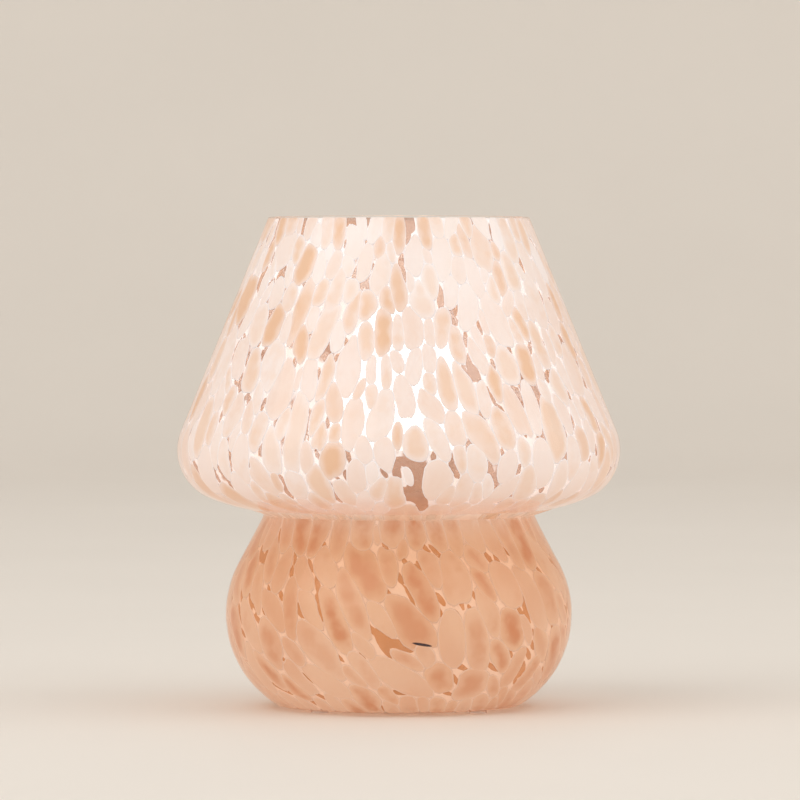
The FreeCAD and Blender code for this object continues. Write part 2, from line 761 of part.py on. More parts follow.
NODES = {
    "glass_body": glass_body,
    "foot_pads": foot_pads,
    "cord_grommet": cord_grommet,
    "base_nut": base_nut,
    "base_washer": base_washer,
    "lower_gasket": lower_gasket,
    "upper_gasket": upper_gasket,
    "spreader_plate": spreader_plate,
    "threaded_tube": threaded_tube,
    "stem_sleeve": stem_sleeve,
    "holder_cup": holder_cup,
    "holder_grub_screw": holder_grub_screw,
    "holder_core": holder_core,
    "holder_terminals": holder_terminals,
    "terminal_screws": terminal_screws,
    "side_contact": side_contact,
    "contact_plunger": contact_plunger,
    "plunger_spring": plunger_spring,
    "screw_shell": screw_shell,
    "holder_skirt": holder_skirt,
    "bulb_tip": bulb_tip,
    "bulb_insulator": bulb_insulator,
    "bulb_cap": bulb_cap,
    "bulb_housing": bulb_housing,
    "bulb_heat_sink": bulb_heat_sink,
    "led_board": led_board,
    "led_chips": led_chips,
    "driver_board": driver_board,
    "driver_parts": driver_parts,
    "bulb_dome": bulb_dome,
}

os.makedirs("parts", exist_ok=True)
for name, make in NODES.items():
    shape = make()
    solids = shape.Solids
    valid = shape.isValid() and all(s.isClosed() for s in solids)
    box = shape.BoundBox
    print(
        f"{name}: {len(solids)} solid(s), valid {valid}, {shape.Volume:.1f} mm3,"
        f" z {box.ZMin:.2f} to {box.ZMax:.2f}, x {box.XMin:.2f} to {box.XMax:.2f}"
    )
    shape.exportStep(f"parts/{name}.step")
print(f"thread clearance {THREAD_CLEARANCE}, pitch per radian {PITCH / (2 * math.pi):.6f} mm")
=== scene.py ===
# %% [markdown]
# # A lit mushroom lamp in speckled blown glass
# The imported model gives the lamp's real pieces: body, stem, lampholder and bulb. This
# lesson dresses them. Most of the work goes into the glass, because it is what one sees:
# a clear wall with hundreds of milky spots fused into it, glowing from the bulb inside.

import json
import math

import bpy
import numpy as np
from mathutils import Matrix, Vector


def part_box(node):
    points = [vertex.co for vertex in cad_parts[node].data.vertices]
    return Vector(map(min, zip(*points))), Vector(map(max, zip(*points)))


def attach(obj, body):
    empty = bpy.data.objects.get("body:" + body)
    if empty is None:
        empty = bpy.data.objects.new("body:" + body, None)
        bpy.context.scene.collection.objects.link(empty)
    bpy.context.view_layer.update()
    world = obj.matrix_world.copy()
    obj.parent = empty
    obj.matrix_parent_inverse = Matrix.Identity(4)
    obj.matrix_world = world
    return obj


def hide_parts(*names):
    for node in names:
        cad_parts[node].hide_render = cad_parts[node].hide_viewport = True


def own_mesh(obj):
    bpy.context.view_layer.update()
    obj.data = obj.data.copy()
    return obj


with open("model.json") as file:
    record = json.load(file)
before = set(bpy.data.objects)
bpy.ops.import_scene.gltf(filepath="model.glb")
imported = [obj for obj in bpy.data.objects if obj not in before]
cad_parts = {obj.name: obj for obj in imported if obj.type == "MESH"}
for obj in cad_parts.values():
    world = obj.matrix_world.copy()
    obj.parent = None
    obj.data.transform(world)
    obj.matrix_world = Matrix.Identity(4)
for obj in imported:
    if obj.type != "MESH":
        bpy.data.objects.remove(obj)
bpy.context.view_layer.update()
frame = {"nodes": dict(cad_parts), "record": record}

# %% [markdown]
# ## The drawing of the glass
# A glass blower's drawing of this body is one line, turned round the axis: a straight
# cone, a shoulder arc, a flatter arc under the cap, a tight crease at the waist, a short
# straight run and one big arc down to the foot. Each arc meets the next with the same
# tangent, so only radii and centres are needed. Lengths here are in millimetres.

# %% Driving sizes of the glass
HEIGHT, RIM_R = 243.0, 64.7
CAP_R, CAP_Z = 110.0, 127.5
SHOULDER_ROUND, UNDERSIDE_ROUND, UNDERSIDE_TURN = 25.5, 73.5, 65.0
CREASE_ROUND, NECK_LEAN = 2.5, 28.0
BASE_R, BASE_Z, BASE_ROUND = 86.0, 46.3, 52.8
WALL, FLOOR, FOOT_Z = 3.5, 5.0, 1.2
FOOT_ROUND, FLOOR_ROUND = 3.0, 6.0
FOOT_INNER_R, PUNT_R, PUNT_RISE = 50.0, 26.0, 9.0
HOLE_R = 5.25
RIM_ROUND = 0.8
OUTLET_Z, OUTLET_R = 46.3, 5.25
METRE = 0.001
print("lamp:", 2 * CAP_R, "mm across,", HEIGHT, "mm high")

# %% The turned profile
def arc(centre, radius, start, end, step=3.0):
    """Points on a circle between two angles in degrees, about step degrees apart."""
    count = max(3, int(abs(end - start) / step) + 1)
    turn = np.radians(np.linspace(start, end, count))
    return centre + radius * np.stack([np.cos(turn), np.sin(turn)], axis=1)


def angle_of(vector):
    """The vector's direction in degrees: the arctangent of its second part over its first."""
    return math.degrees(math.atan2(vector[1], vector[0]))


def wall_profile(inset, level, corner):
    """(r, z) points from the rim to the foot or floor, moved inward by inset. Each centre
    is found from the condition that neighbouring arcs and lines share a tangent."""
    shoulder = np.array([CAP_R - SHOULDER_ROUND, CAP_Z])
    to_rim = np.array([RIM_R, HEIGHT]) - shoulder
    cone = angle_of(to_rim) - math.degrees(math.acos(SHOULDER_ROUND / np.hypot(*to_rim)))
    rim = np.array([[RIM_R - inset / math.cos(math.radians(cone)), HEIGHT]])
    spread = math.radians(-UNDERSIDE_TURN)
    drop = (UNDERSIDE_ROUND - SHOULDER_ROUND) * np.array([math.cos(spread), math.sin(spread)])
    under = shoulder - drop
    base = np.array([BASE_R - BASE_ROUND, BASE_Z])
    lean = math.radians(NECK_LEAN)
    out = np.array([math.cos(lean), math.sin(lean)])
    up = np.array([-math.sin(lean), math.cos(lean)])
    across = (base - under) @ out + BASE_ROUND + CREASE_ROUND
    along = math.sqrt((UNDERSIDE_ROUND + CREASE_ROUND) ** 2 - across**2)
    crease = under + out * across - up * along
    under_end = angle_of(crease - under)
    side = math.sqrt((BASE_ROUND - inset - corner) ** 2 - (level + corner - BASE_Z) ** 2)
    heel = np.array([base[0] + side, level + corner])
    heel_angle = angle_of(heel - base)
    return np.concatenate([
        rim,
        arc(shoulder, SHOULDER_ROUND - inset, cone, -UNDERSIDE_TURN),
        arc(under, UNDERSIDE_ROUND - inset, -UNDERSIDE_TURN, under_end),
        arc(crease, CREASE_ROUND + inset, under_end + 180, NECK_LEAN + 180, step=9.0),
        arc(base, BASE_ROUND - inset, NECK_LEAN, heel_angle),
        arc(heel, corner, heel_angle, -90.0, step=9.0),
    ])


def punt_profile(level):
    """The S-curve from the foot ring up to the flat middle of the floor."""
    width = FOOT_INNER_R - PUNT_R
    bend = (width**2 + PUNT_RISE**2) / (4 * PUNT_RISE)
    tilt = math.degrees(math.asin(width / 2 / bend))
    low = arc(np.array([FOOT_INNER_R, level + bend]), bend, -90, -90 - tilt, step=6.0)
    high = arc(np.array([PUNT_R, level + PUNT_RISE - bend]), bend, 90 - tilt, 90, step=6.0)
    return np.concatenate([low, high[1:]])


def spaced(points, longest):
    """The same polyline with every run cut into equal pieces no longer than longest: each
    point is its run's start plus its number times the run's step."""
    runs = np.diff(points, axis=0)
    counts = np.maximum(1, np.ceil(np.hypot(runs[:, 0], runs[:, 1]) / longest)).astype(int)
    start = np.repeat(points[:-1], counts, axis=0)
    step = np.repeat(runs / counts[:, None], counts, axis=0)
    index = np.arange(counts.sum()) - np.repeat(np.cumsum(counts) - counts, counts)
    return np.concatenate([start + step * index[:, None], points[-1:]])


outer_wall = wall_profile(0.0, FOOT_Z, FOOT_ROUND)
print("profile points:", len(outer_wall), "widest r", outer_wall[:, 0].max().round(2))

# %% [markdown]
# ## Turning a profile
# A lathe surface is a function of two parameters: place along the profile and angle round
# the axis. All vertices come from one outer product, and the faces from index arithmetic,
# so there is no loop over vertices. Every mesh in this file goes through `solid`, which
# turns millimetres into metres and leaves the object at the origin. Rods, coils and the
# floor are rings of points too, and share `bands`.

# %% Mesh helpers
def solid(name, points, faces, smooth=True):
    """A mesh object from points in millimetres and a list or array of faces."""
    mesh = bpy.data.meshes.new(name)
    mesh.from_pydata((np.asarray(points) * METRE).tolist(), [], [list(f) for f in faces])
    mesh.polygons.foreach_set("use_smooth", np.full(len(mesh.polygons), smooth))
    mesh.update()
    obj = bpy.data.objects.new(name, mesh)
    bpy.context.scene.collection.objects.link(obj)
    return obj


def per_point(obj, name, values):
    """Stores one number per vertex, for the object's material to read."""
    layer = obj.data.attributes.new(name, "FLOAT", "POINT")
    layer.data.foreach_set("value", np.asarray(values, dtype=np.float32).ravel())


def all_round(count):
    """Angles of count evenly spaced points on a full turn, in radians."""
    return np.linspace(0, 2 * math.pi, count, endpoint=False)


def turned_points(profile, segments):
    """Points (r cos a, r sin a, z) for every profile point (r, z) and every angle a."""
    ring = np.stack([np.cos(all_round(segments)), np.sin(all_round(segments))], axis=1)
    flat = profile[:, None, 0, None] * ring[None]
    high = np.broadcast_to(profile[:, None, 1, None], flat.shape[:2] + (1,))
    return np.concatenate([flat, high], axis=2).reshape(-1, 3)


def bands(rings, segments, falling=False, closed=False):
    """Quads between each ring of points and the next one up: here, beside, the two above.
    Where the rings fall, the corners run the other way, so that the outside stays out. A
    closed set also joins the last ring to the first."""
    count = rings if closed else rings - 1
    row, column = np.meshgrid(np.arange(count), np.arange(segments), indexing="ij")
    beside = (column + 1) % segments
    here, there = row * segments, (row + 1) % rings * segments
    corners = [here + column, here + beside, there + beside, there + column]
    if falling:
        corners = [corners[i] for i in (0, 3, 2, 1)]
    return np.stack(corners, axis=2).reshape(-1, 4)


def tube_faces(rings, segments):
    """The bands of a tube, and a flat face over each of its two ends."""
    first, last = range(segments), range((rings - 1) * segments, rings * segments)
    return bands(rings, segments).tolist() + [list(first)[::-1], list(last)]


# %% [markdown]
# ## The light that reaches the glass
# In the photo the cap glows almost white, the wall just under the waist is darkest, and
# the base gets brighter again towards the foot. That is plain geometry: the bulb's dome
# shines on each bit of wall by the cosines at both ends over the distance squared, and
# the narrow waist cuts off part of the dome for the base. The sum below adds that up for
# each height, and the result rides on the mesh, so the glow stays put from any side. Some
# light also comes by detours: a little everywhere, more near the foot, where the floor
# throws it back, and some down inside the thick glass of the waist. The bulb's own housing
# shades the cap's underside, and the rim loses light through the open top.

# %% Light on the wall
DOME_R, DOME_Z, DOME_CROWN = 34.0, 140.15, 60.0
WAIST_R, WAIST_Z = 66.0, 97.0


def dome_patches(rows=26, columns=48):
    """Centres, outward normals and areas of small patches on the bulb's dome."""
    climb = (np.arange(rows) + 0.5) / rows * (math.pi / 2)
    turn = (np.arange(columns) + 0.5) / columns * 2 * math.pi
    climb, turn = np.meshgrid(climb, turn, indexing="ij")
    r, z = DOME_R * np.cos(climb), DOME_Z + DOME_CROWN * np.sin(climb)
    centre = np.stack([r * np.cos(turn), r * np.sin(turn), z], axis=2).reshape(-1, 3)
    slope = np.stack([np.cos(climb) / DOME_R, np.sin(climb) / DOME_CROWN], axis=2)
    slope /= np.linalg.norm(slope, axis=2, keepdims=True)
    out, up = slope[..., 0], slope[..., 1]
    normal = np.stack([out * np.cos(turn), out * np.sin(turn), up], axis=2)
    stretch = np.hypot(DOME_R * np.sin(climb), DOME_CROWN * np.cos(climb))
    area = r * stretch * (math.pi / 2 / rows) * (2 * math.pi / columns)
    return centre, normal.reshape(-1, 3), area.ravel()


def profile_normals(profile):
    """Outward unit normals of an (r, z) line that runs from the rim down."""
    tangent = np.gradient(profile, axis=0)
    normal = np.stack([-tangent[:, 1], tangent[:, 0]], axis=1)
    return normal / np.linalg.norm(normal, axis=1, keepdims=True)


def light_on(profile):
    """Share of the dome's light that falls on the inside of the wall at each point."""
    patch, facing, area = dome_patches()
    place = np.stack([profile[:, 0], np.zeros(len(profile)), profile[:, 1]], axis=1)
    inward = -profile_normals(profile)
    inward = np.stack([inward[:, 0], np.zeros(len(inward)), inward[:, 1]], axis=1)
    ray = patch[None] - place[:, None]
    length = np.linalg.norm(ray, axis=2)
    at_wall = np.maximum(0, (ray * inward[:, None]).sum(axis=2) / length)
    at_dome = np.maximum(0, -(ray * facing[None]).sum(axis=2) / length)
    share = (WAIST_Z - place[:, None, 2]) / ray[..., 2]
    crossing = place[:, None] + ray * share[..., None]
    open_way = (share <= 0) | (np.hypot(crossing[..., 0], crossing[..., 1]) < WAIST_R)
    return (at_wall * at_dome * open_way * area / (math.pi * length**2)).sum(axis=1)


def outward_wall(step):
    """The outer wall as evenly spaced points, the length along it, and its normals."""
    wall = spaced(outer_wall, step)
    length = np.concatenate([[0], np.cumsum(np.hypot(*np.diff(wall, axis=0).T))])
    return wall, length, profile_normals(wall)


fine_wall, fine_s, fine_normal = outward_wall(1.0)


def radius_at(s):
    """The wall's radius at a length s along it from the rim."""
    return np.interp(s, fine_s, fine_wall[:, 0])


def height_at(s):
    """The wall's height at a length s along it from the rim."""
    return np.interp(s, fine_s, fine_wall[:, 1])


def length_at(z):
    """The length along the wall, from the rim, at a height z."""
    return np.interp(-z, -fine_wall[:, 1], fine_s)


narrowest = np.where(np.abs(fine_wall[:, 1] - WAIST_Z) < 15, fine_wall[:, 0], CAP_R).argmin()
crease_s, foot_s = fine_s[narrowest], fine_s[-1]
BOUNCE, FOOT_BOUNCE, WAIST_PIPE = 0.0049, 0.0056, 0.0072
FOOT_REACH, PIPE_REACH = 45, 9
CAP_LIGHT, SOFTNESS, FULL = 0.05, 0.4, 0.88
CAP_SHADE = np.interp(fine_wall[:, 1], [100, 150, 170, 200, 243], [0.84, 0.84, 1.0, 1.0, 0.93])
bounce = BOUNCE + FOOT_BOUNCE * np.clip(1 - fine_wall[:, 1] / FOOT_REACH, 0, 1)
bounce += WAIST_PIPE * np.exp(-(((fine_wall[:, 1] - WAIST_Z) / PIPE_REACH) ** 2))
fine_glow = FULL * ((light_on(fine_wall) + bounce) / CAP_LIGHT) ** SOFTNESS
fine_glow = np.where(fine_wall[:, 1] > WAIST_Z, fine_glow * CAP_SHADE, fine_glow)
for height in (230, 180, 130, 100, 85, 60, 30, 10):
    print("glow at z", height, "=", fine_glow[np.abs(fine_wall[:, 1] - height).argmin()].round(3))
print("crease at", fine_wall[narrowest].round(1), "wall length", foot_s.round(1))

# %% [markdown]
# ## The clear glass wall
# The body is one closed shell with a fire-polished rim, a thick floor pushed up in the
# middle and two drilled holes: one for the stem and one for the cord at the back. A
# profile of outer wall, floor and inner wall turned round the axis gives everything but
# the cord hole, which a boolean cut drills afterwards, as a drill does in the real glass.

# %% Glass wall
def rounded(corner, before, after, radius, count=5):
    """A corner between two straight runs replaced by an arc that touches both: its centre
    lies on the bisector, at radius over the sine of half the angle between the runs."""
    a = (before - corner) / np.linalg.norm(before - corner)
    b = (after - corner) / np.linalg.norm(after - corner)
    half = math.acos(np.clip(a @ b, -1, 1)) / 2
    middle = (a + b) / np.linalg.norm(a + b)
    centre = corner + middle * radius / math.sin(half)
    start = corner + a * radius / math.tan(half) - centre
    end = corner + b * radius / math.tan(half) - centre
    share = np.linspace(0, 1, count)[:, None]
    points = start * (1 - share) + end * share
    return centre + points * radius / np.linalg.norm(points, axis=1, keepdims=True)


inner_wall = wall_profile(WALL, FOOT_Z + FLOOR, FLOOR_ROUND)
rim_out = rounded(outer_wall[0], inner_wall[0], outer_wall[1], RIM_ROUND)
rim_in = rounded(inner_wall[0], inner_wall[1], outer_wall[0], RIM_ROUND)
punt_low, punt_high = punt_profile(FOOT_Z), punt_profile(FOOT_Z + FLOOR)
hole = np.array([[HOLE_R, FOOT_Z + PUNT_RISE], [HOLE_R, FOOT_Z + PUNT_RISE + FLOOR]])
GLASS_SEGMENTS = 192
glass_profile = spaced(np.concatenate([
    rim_out, outer_wall[1:], punt_low, hole, punt_high[::-1], inner_wall[:0:-1], rim_in,
]), 4.0)
faces = bands(len(glass_profile), GLASS_SEGMENTS, falling=True, closed=True)
glass_wall = solid("glass_wall", turned_points(glass_profile, GLASS_SEGMENTS), faces)
print("glass wall:", len(glass_profile), "rings,", 2 * len(faces), "triangles")

# %% Cord hole
def rod_between(name, start, end, radius, sides=48):
    """A closed rod from start to end, in millimetres: two rings at right angles to it."""
    start, end = np.array(start, float), np.array(end, float)
    along = (end - start) / np.linalg.norm(end - start)
    side = np.cross(along, [1.0, 0, 0])
    side /= np.linalg.norm(side)
    turn = all_round(sides)[:, None]
    ring = radius * (np.cos(turn) * side + np.sin(turn) * np.cross(along, side))
    return solid(name, np.concatenate([ring + start, ring + end]), tube_faces(2, sides))


def drill(piece, start, end, radius):
    """Cuts a round hole through a piece: the piece minus a rod, which is then removed."""
    tool = rod_between("drill_tool", start, end, radius)
    cut = piece.modifiers.new("drill", "BOOLEAN")
    cut.operation, cut.solver, cut.object = "DIFFERENCE", "EXACT", tool
    bpy.context.view_layer.objects.active = piece
    bpy.context.view_layer.update()
    depsgraph = bpy.context.evaluated_depsgraph_get()
    done = bpy.data.meshes.new_from_object(piece.evaluated_get(depsgraph))
    piece.modifiers.clear()
    piece.data = done
    bpy.data.objects.remove(tool)
    done.polygons.foreach_set("use_smooth", np.ones(len(done.polygons), bool))


drill(glass_wall, (0, 70, OUTLET_Z), (0, 100, OUTLET_Z), OUTLET_R)
glass_wall.data.set_sharp_from_angle(angle=math.radians(40))
print("after drilling:", len(glass_wall.data.polygons), "faces")

# %% [markdown]
# ## Laying out the spots
# Each spot began as a grain of crushed glass and was drawn out as the body was blown, so
# neighbours share the room like soap bubbles: outlines run side by side and round off at
# the corners. A seed, a width, a length and a lean stand for each grain. The seeds facing
# us are listed in the manner of the real lamp; the rest are thrown at random and
# kept only where they are clear of the others. Clear patches are seeds without a grain.

# %% Listed seeds
# across, height, width, length in mm; lean in degrees, top to the left; tone, 1 is pale
CAP_FRONT = [
    (2.1, 153.7, 12.4, 24, 0, 1), (-12.8, 153.7, 7.5, 14, 8, 1), (-13.3, 168.2, 6, 15, 0, 1),
    (-5.9, 166.2, 6, 19, 2, 1), (0.1, 172.1, 7.5, 12, 22, 0.97), (-26.3, 165.7, 12.4, 30, 0, 1),
    (-35.7, 163.7, 8, 25, -10, 0.94), (-23.3, 140.8, 12.5, 31, -6, 1),
    (-49.2, 138.8, 11.6, 51, 0, 1.08), (-39.2, 145.8, 7.5, 21, -8, 0.96),
    (-8.4, 128.9, 11, 21, 12, 1), (-2.4, 107.5, 11.6, 18, 0, 0.94), (4.6, 117.4, 4, 9, 18, 1.12),
    (18.5, 116.4, 15, 21, 0, 0.97), (8.1, 135.8, 12.4, 17, 10, 0.98),
    (16.5, 149.8, 11, 20, 32, 0.95), (24.5, 158.7, 10, 26, 6, 0.95),
    (39.4, 138.3, 14, 27, 28, 0.92), (0.6, 207, 9, 23, 3, 0.72), (-0.4, 232.8, 6.6, 18, 0, 0.68),
    (-8.9, 227.9, 6.6, 13, 0, 0.74), (-15.8, 201, 10, 15, 0, 0.9),
    (-23.3, 195.5, 7.5, 23, -12, 0.92), (-16.8, 220.4, 9, 20, -8, 1), (14, 231.8, 6, 20, 4, 0.76),
    (32.9, 228.4, 6.6, 18, 10, 0.8), (8.1, 221.9, 10, 18, 0, 1), (28, 182.1, 8, 21, 8, 0.92),
    (45.9, 193.5, 14, 31, 14, 1.04), (-14, 183, 9, 19, 0, 0.98), (0, 188, 8, 18, 0, 1),
    (13, 175, 8, 17, 4, 1), (-38, 185, 12, 33, -14, 1.05), (-48, 195, 9, 34, -10, 0.8),
    (-56, 160, 16, 30, -6, 0.94), (-30, 207, 9, 26, -10, 1), (37, 212, 9, 24, 10, 1),
    (32.5, 158, 11, 28, 14, 1.03), (38.5, 175, 8, 22, 22, 1), (-20, 118, 11, 19, -4, 0.97),
    (-9, 113, 9, 14, -20, 1), (31, 109, 10, 22, -3, 0.96), (30, 128, 7, 17, 12, 0.96),
    (20, 100, 16, 14, 0, 0.98), (48, 108, 12, 18, -28, 0.98), (-38, 115, 12, 24, 12, 0.96),
    (-66, 115, 12, 26, 38, 0.96), (57, 150, 12, 30, 14, 0.9),
]
CAP_CLEAR = [
    (10.5, 117, 5, 13, 0), (9.8, 107, 6, 12, 10), (-1.4, 118.5, 4, 9, 12), (2.5, 125, 4, 10, 80),
    (4.6, 108.5, 3.5, 8, 0), (9, 100.5, 8, 6, 0), (39.4, 189.5, 2.6, 10, 10),
    (45.5, 155.5, 2.4, 12, 18), (51, 127, 2.6, 9, 14), (-51, 171, 3, 12, -8),
    (-71.5, 121, 3.5, 8, 20), (-44, 140.5, 2.2, 12, 6), (-29.8, 107.5, 2.8, 9, 6),
    (28, 119.5, 2.4, 8, 20), (-54, 109, 3.5, 8, 0), (-14.8, 239, 3.5, 6, 0), (4, 239, 4, 7, 12),
    (-33, 181, 2.2, 7, -20),
]
BASE_FRONT = [
    (3.1, 49.3, 19, 40, 40, 0.86), (11.4, 63.7, 13, 34, 18, 0.88), (-6.9, 75, 10, 22, 8, 0.9),
    (-20.9, 54.4, 15, 40, 24, 1.02), (-31.7, 51, 13, 38, 24, 0.86), (-53, 51, 11, 38, 3, 0.86),
    (-61.6, 36, 17, 28, 15, 1), (26.3, 40.3, 15, 27, 4, 1.06), (39.5, 38, 14, 40, 14, 1.02),
    (54.4, 42, 18, 23, 32, 0.86), (55.3, 62.7, 16, 27, 24, 1), (40.4, 66, 9, 22, 20, 0.86),
    (28, 66.8, 16, 30, 12, 1), (18.9, 19.6, 14, 20, 34, 0.84), (6.4, 27.5, 8, 19, 62, 0.98),
    (-3.5, 22, 15, 36, 56, 1.06), (36.3, 16.4, 20, 19, 0, 1), (64.5, 21.2, 11, 26, -22, 0.86),
    (54.5, 20, 12, 21, -12, 0.9), (-38.4, 32.8, 17, 38, 38, 1.08), (-36.7, 17, 14, 30, 48, 1.06),
    (-16.5, 9.6, 14, 19, 30, 0.92), (-40.8, 86, 12, 26, 0, 0.88), (-28.4, 84.2, 10, 26, 0, 0.9),
    (-3.5, 90, 14, 18, 0, 0.96), (-56, 72, 12, 26, -4, 1), (46, 84, 12, 22, 22, 0.98),
]
BASE_CLEAR = [
    (-8, 41, 6, 12, 40), (1, 36, 4.5, 13, 62), (-15.5, 46, 3, 8, 28), (29.5, 25, 2.5, 14, 62),
    (0, 11.5, 3, 8, 80), (31.3, 9.5, 2.5, 8, 80), (-18, 30.5, 1.8, 6, 50), (62, 52, 2.5, 14, 24),
]
print("hand-set:", len(CAP_FRONT), "cap and", len(BASE_FRONT), "base spots")

# %% [markdown]
# ## Filling the wall with seeds
# A seed is a row of numbers: angle, length along the wall from the rim, width, length,
# lean, tone, 1 if it is clear, and 1 if it was listed. The cap's grains are drawn out
# upright, and more of them are peach near the rim. The base's grains are larger and lean,
# as the blower's twist left them. Settling moves each seed towards the middle of its own
# outline, which spreads the seeds evenly, as the growing bubble of glass did.

# %% Reading the seeds
LEAST_SLOPE = 0.45


def seed_rows(rows, clear):
    """Listed seeds as an array. The angle round the axis is the arcsine of the place
    across over the radius, from the front; the length follows the slope of the wall."""
    rows = np.array([row + (1.0,) * (6 - len(row)) for row in rows], float)
    s = length_at(rows[:, 1])
    phi = -math.pi / 2 + np.arcsin(rows[:, 0] / radius_at(s))
    slope = np.abs(np.interp(s, fine_s, fine_normal[:, 0]))
    length = rows[:, 3] / np.maximum(slope, LEAST_SLOPE)
    lean = np.radians(rows[:, 4])
    marks = [np.full(len(s), clear), np.ones(len(s))]
    return np.stack([phi, s, rows[:, 2], length, lean, rows[:, 5], *marks], axis=1)


def frames(seeds):
    """For each seed the matrix that turns an offset in mm into units of its half sizes."""
    c, k = np.cos(seeds[:, 4]), np.sin(seeds[:, 4])
    across = np.stack([c, -k], axis=1) * 2 / seeds[:, 2, None]
    along = np.stack([k, c], axis=1) * 2 / seeds[:, 3, None]
    return np.stack([across, along], axis=1)


def offsets(here, there, radius):
    """Offsets in mm on the wall, round the axis and along it, from places to others. A
    place is a row that starts with its angle and its length along the wall."""
    turn = (there[..., 0] - here[..., 0] + math.pi) % (2 * math.pi) - math.pi
    return np.stack([turn * radius, there[..., 1] - here[..., 1]], axis=-1)


# %% Throwing
CAP_TRIES, BASE_TRIES, APART = 16000, 8000, 1.36


def throw(seeds, draw, low, high, tries, rng):
    """Random seeds, kept where their distance to all others, measured in the mean of both
    spots' own half sizes, is more than APART."""
    for _ in range(tries):
        s = rng.uniform(low, high)
        if rng.uniform(0, CAP_R) > radius_at(s):
            continue
        one = np.array([rng.uniform(-math.pi, math.pi), s, *draw(s, rng), 0.0])
        step = offsets(one, seeds, radius_at(s))
        mine = np.linalg.norm(frames(one[None])[0] @ step.T, axis=0)
        theirs = np.linalg.norm(np.einsum("nab,nb->na", frames(seeds), step), axis=1)
        if ((mine + theirs) / 2).min() > APART:
            seeds = np.vstack([seeds, one])
    return seeds


# %% Outlines
NEAREST, RAYS, CORNER, REACH, ROUNDING = 14, 20, 9.0, 1.35, 5.2


def rays(seeds):
    """Unit directions from each seed, closest together where its ellipse is longest."""
    c, k = np.cos(seeds[:, 4]), np.sin(seeds[:, 4])
    across = np.stack([c, -k], axis=1) * seeds[:, 2, None]
    along = np.stack([k, c], axis=1) * seeds[:, 3, None]
    turn = all_round(RAYS)[None, :, None]
    ray = np.cos(turn) * across[:, None] + np.sin(turn) * along[:, None]
    return ray / np.linalg.norm(ray, axis=2, keepdims=True)


def neighbours(seeds, frame_of):
    """The NEAREST seeds to each, by the sum of both distances in half sizes, and the
    offsets to them in mm."""
    step = offsets(seeds[:, None], seeds[None], radius_at(seeds[:, 1])[:, None])
    far = np.linalg.norm(np.einsum("iab,ijb->ija", frame_of, step), axis=2)
    far = far + far.T
    np.fill_diagonal(far, 1e9)
    near = np.argsort(far, axis=1)[:, :NEAREST]
    return near, np.take_along_axis(step, near[:, :, None], axis=1)


def outlines(seeds, gap=1.0):
    """For each seed, unit directions and the distance to its spot's edge in each. Towards a
    neighbour the edge is where the own distance, in own half sizes, is gap times the
    neighbour's, a quadratic equation along the ray. Of all edges the nearest counts, with
    corners softened by a sum of powers. Then each wave of the outline round the spot is
    damped by e to the minus square of its number over ROUNDING."""
    ray, frame_of = rays(seeds), frames(seeds)
    near, step = neighbours(seeds, frame_of)
    own = (np.einsum("nab,ndb->nda", frame_of, ray) ** 2).sum(axis=2)
    theirs_ray = np.einsum("nkab,ndb->nkda", frame_of[near], ray)
    theirs_step = np.einsum("nkab,nkb->nka", frame_of[near], step)
    gap = np.broadcast_to(gap, len(seeds))[:, None, None] ** 2
    b = gap * (theirs_ray**2).sum(axis=3)
    c = gap * np.einsum("nkda,nka->nkd", theirs_ray, theirs_step)
    g = gap * (theirs_step**2).sum(axis=2)[:, :, None]
    under = c**2 + (own[:, None] - b) * g
    root = c + np.sqrt(np.maximum(under, 0))
    reach = np.where((under > 0) & (root > 1e-9), g / np.maximum(root, 1e-9), np.inf)
    free = REACH / np.sqrt(own)
    edge = ((reach**-CORNER).sum(axis=1) + free**-CORNER) ** (-1 / CORNER)
    waves = np.fft.rfft(edge * np.sqrt(own), axis=1)
    waves *= np.exp(-((np.arange(waves.shape[1]) / ROUNDING) ** 2))
    edge = np.fft.irfft(waves, RAYS, axis=1) / np.sqrt(own)
    return ray, edge


# %% Settling
ROUNDS, FREE_ROUNDS, HOLD = 8, 3, 0.65


def settle(seeds, low, high):
    """Moves each seed halfway to the middle of its own outline, the mean of its triangles'
    centres weighted by area, ROUNDS times; a listed seed moves less by HOLD, but for
    the last FREE_ROUNDS."""
    for lap in range(ROUNDS):
        hold = HOLD if lap < ROUNDS - FREE_ROUNDS else 0.0
        ray, edge = outlines(seeds)
        room = np.where(ray[..., 1] > 0, high - seeds[:, None, 1], seeds[:, None, 1] - low)
        edge = np.minimum(edge, room / np.maximum(np.abs(ray[..., 1]), 1e-6))
        corner = ray * edge[..., None]
        after = np.roll(corner, -1, axis=1)
        area = corner[..., 0] * after[..., 1] - corner[..., 1] * after[..., 0]
        middle = ((corner + after) * area[..., None]).sum(axis=1) / (3 * area.sum(axis=1))[:, None]
        move = 0.5 * middle * (1 - hold * seeds[:, 7, None])
        seeds[:, 0] += move[:, 0] / radius_at(seeds[:, 1])
        seeds[:, 1] = np.clip(seeds[:, 1] + move[:, 1], low + 1, high - 1)
    return seeds


# %% Random grains
CLEAR_WIDTH, CLEAR_SHARE = 2.6, 0.05


def cap_grain(s, rng):
    """Width, length, lean, tone and clearness of a random grain of the cap: the length
    follows the height and spreads lognormally, the width is a share of it."""
    z = height_at(s)
    long = np.interp(z, [100, 120, 160, 215, 243], [30, 28, 26, 22, 16])
    long *= math.exp(rng.normal(0, 0.24))
    wide = long * rng.uniform(0.36, 0.6)
    peach = 0.25 if z > 190 else 0.12
    tone = rng.uniform(0.68, 0.8) if rng.random() < peach else rng.normal(1.0, 0.08)
    if z > 108 and rng.random() < CLEAR_SHARE:
        return CLEAR_WIDTH, rng.uniform(6, 12), math.radians(rng.normal(5, 20)), 1.0, 1.0
    return wide, long, math.radians(rng.normal(3, 9)), tone, 0.0


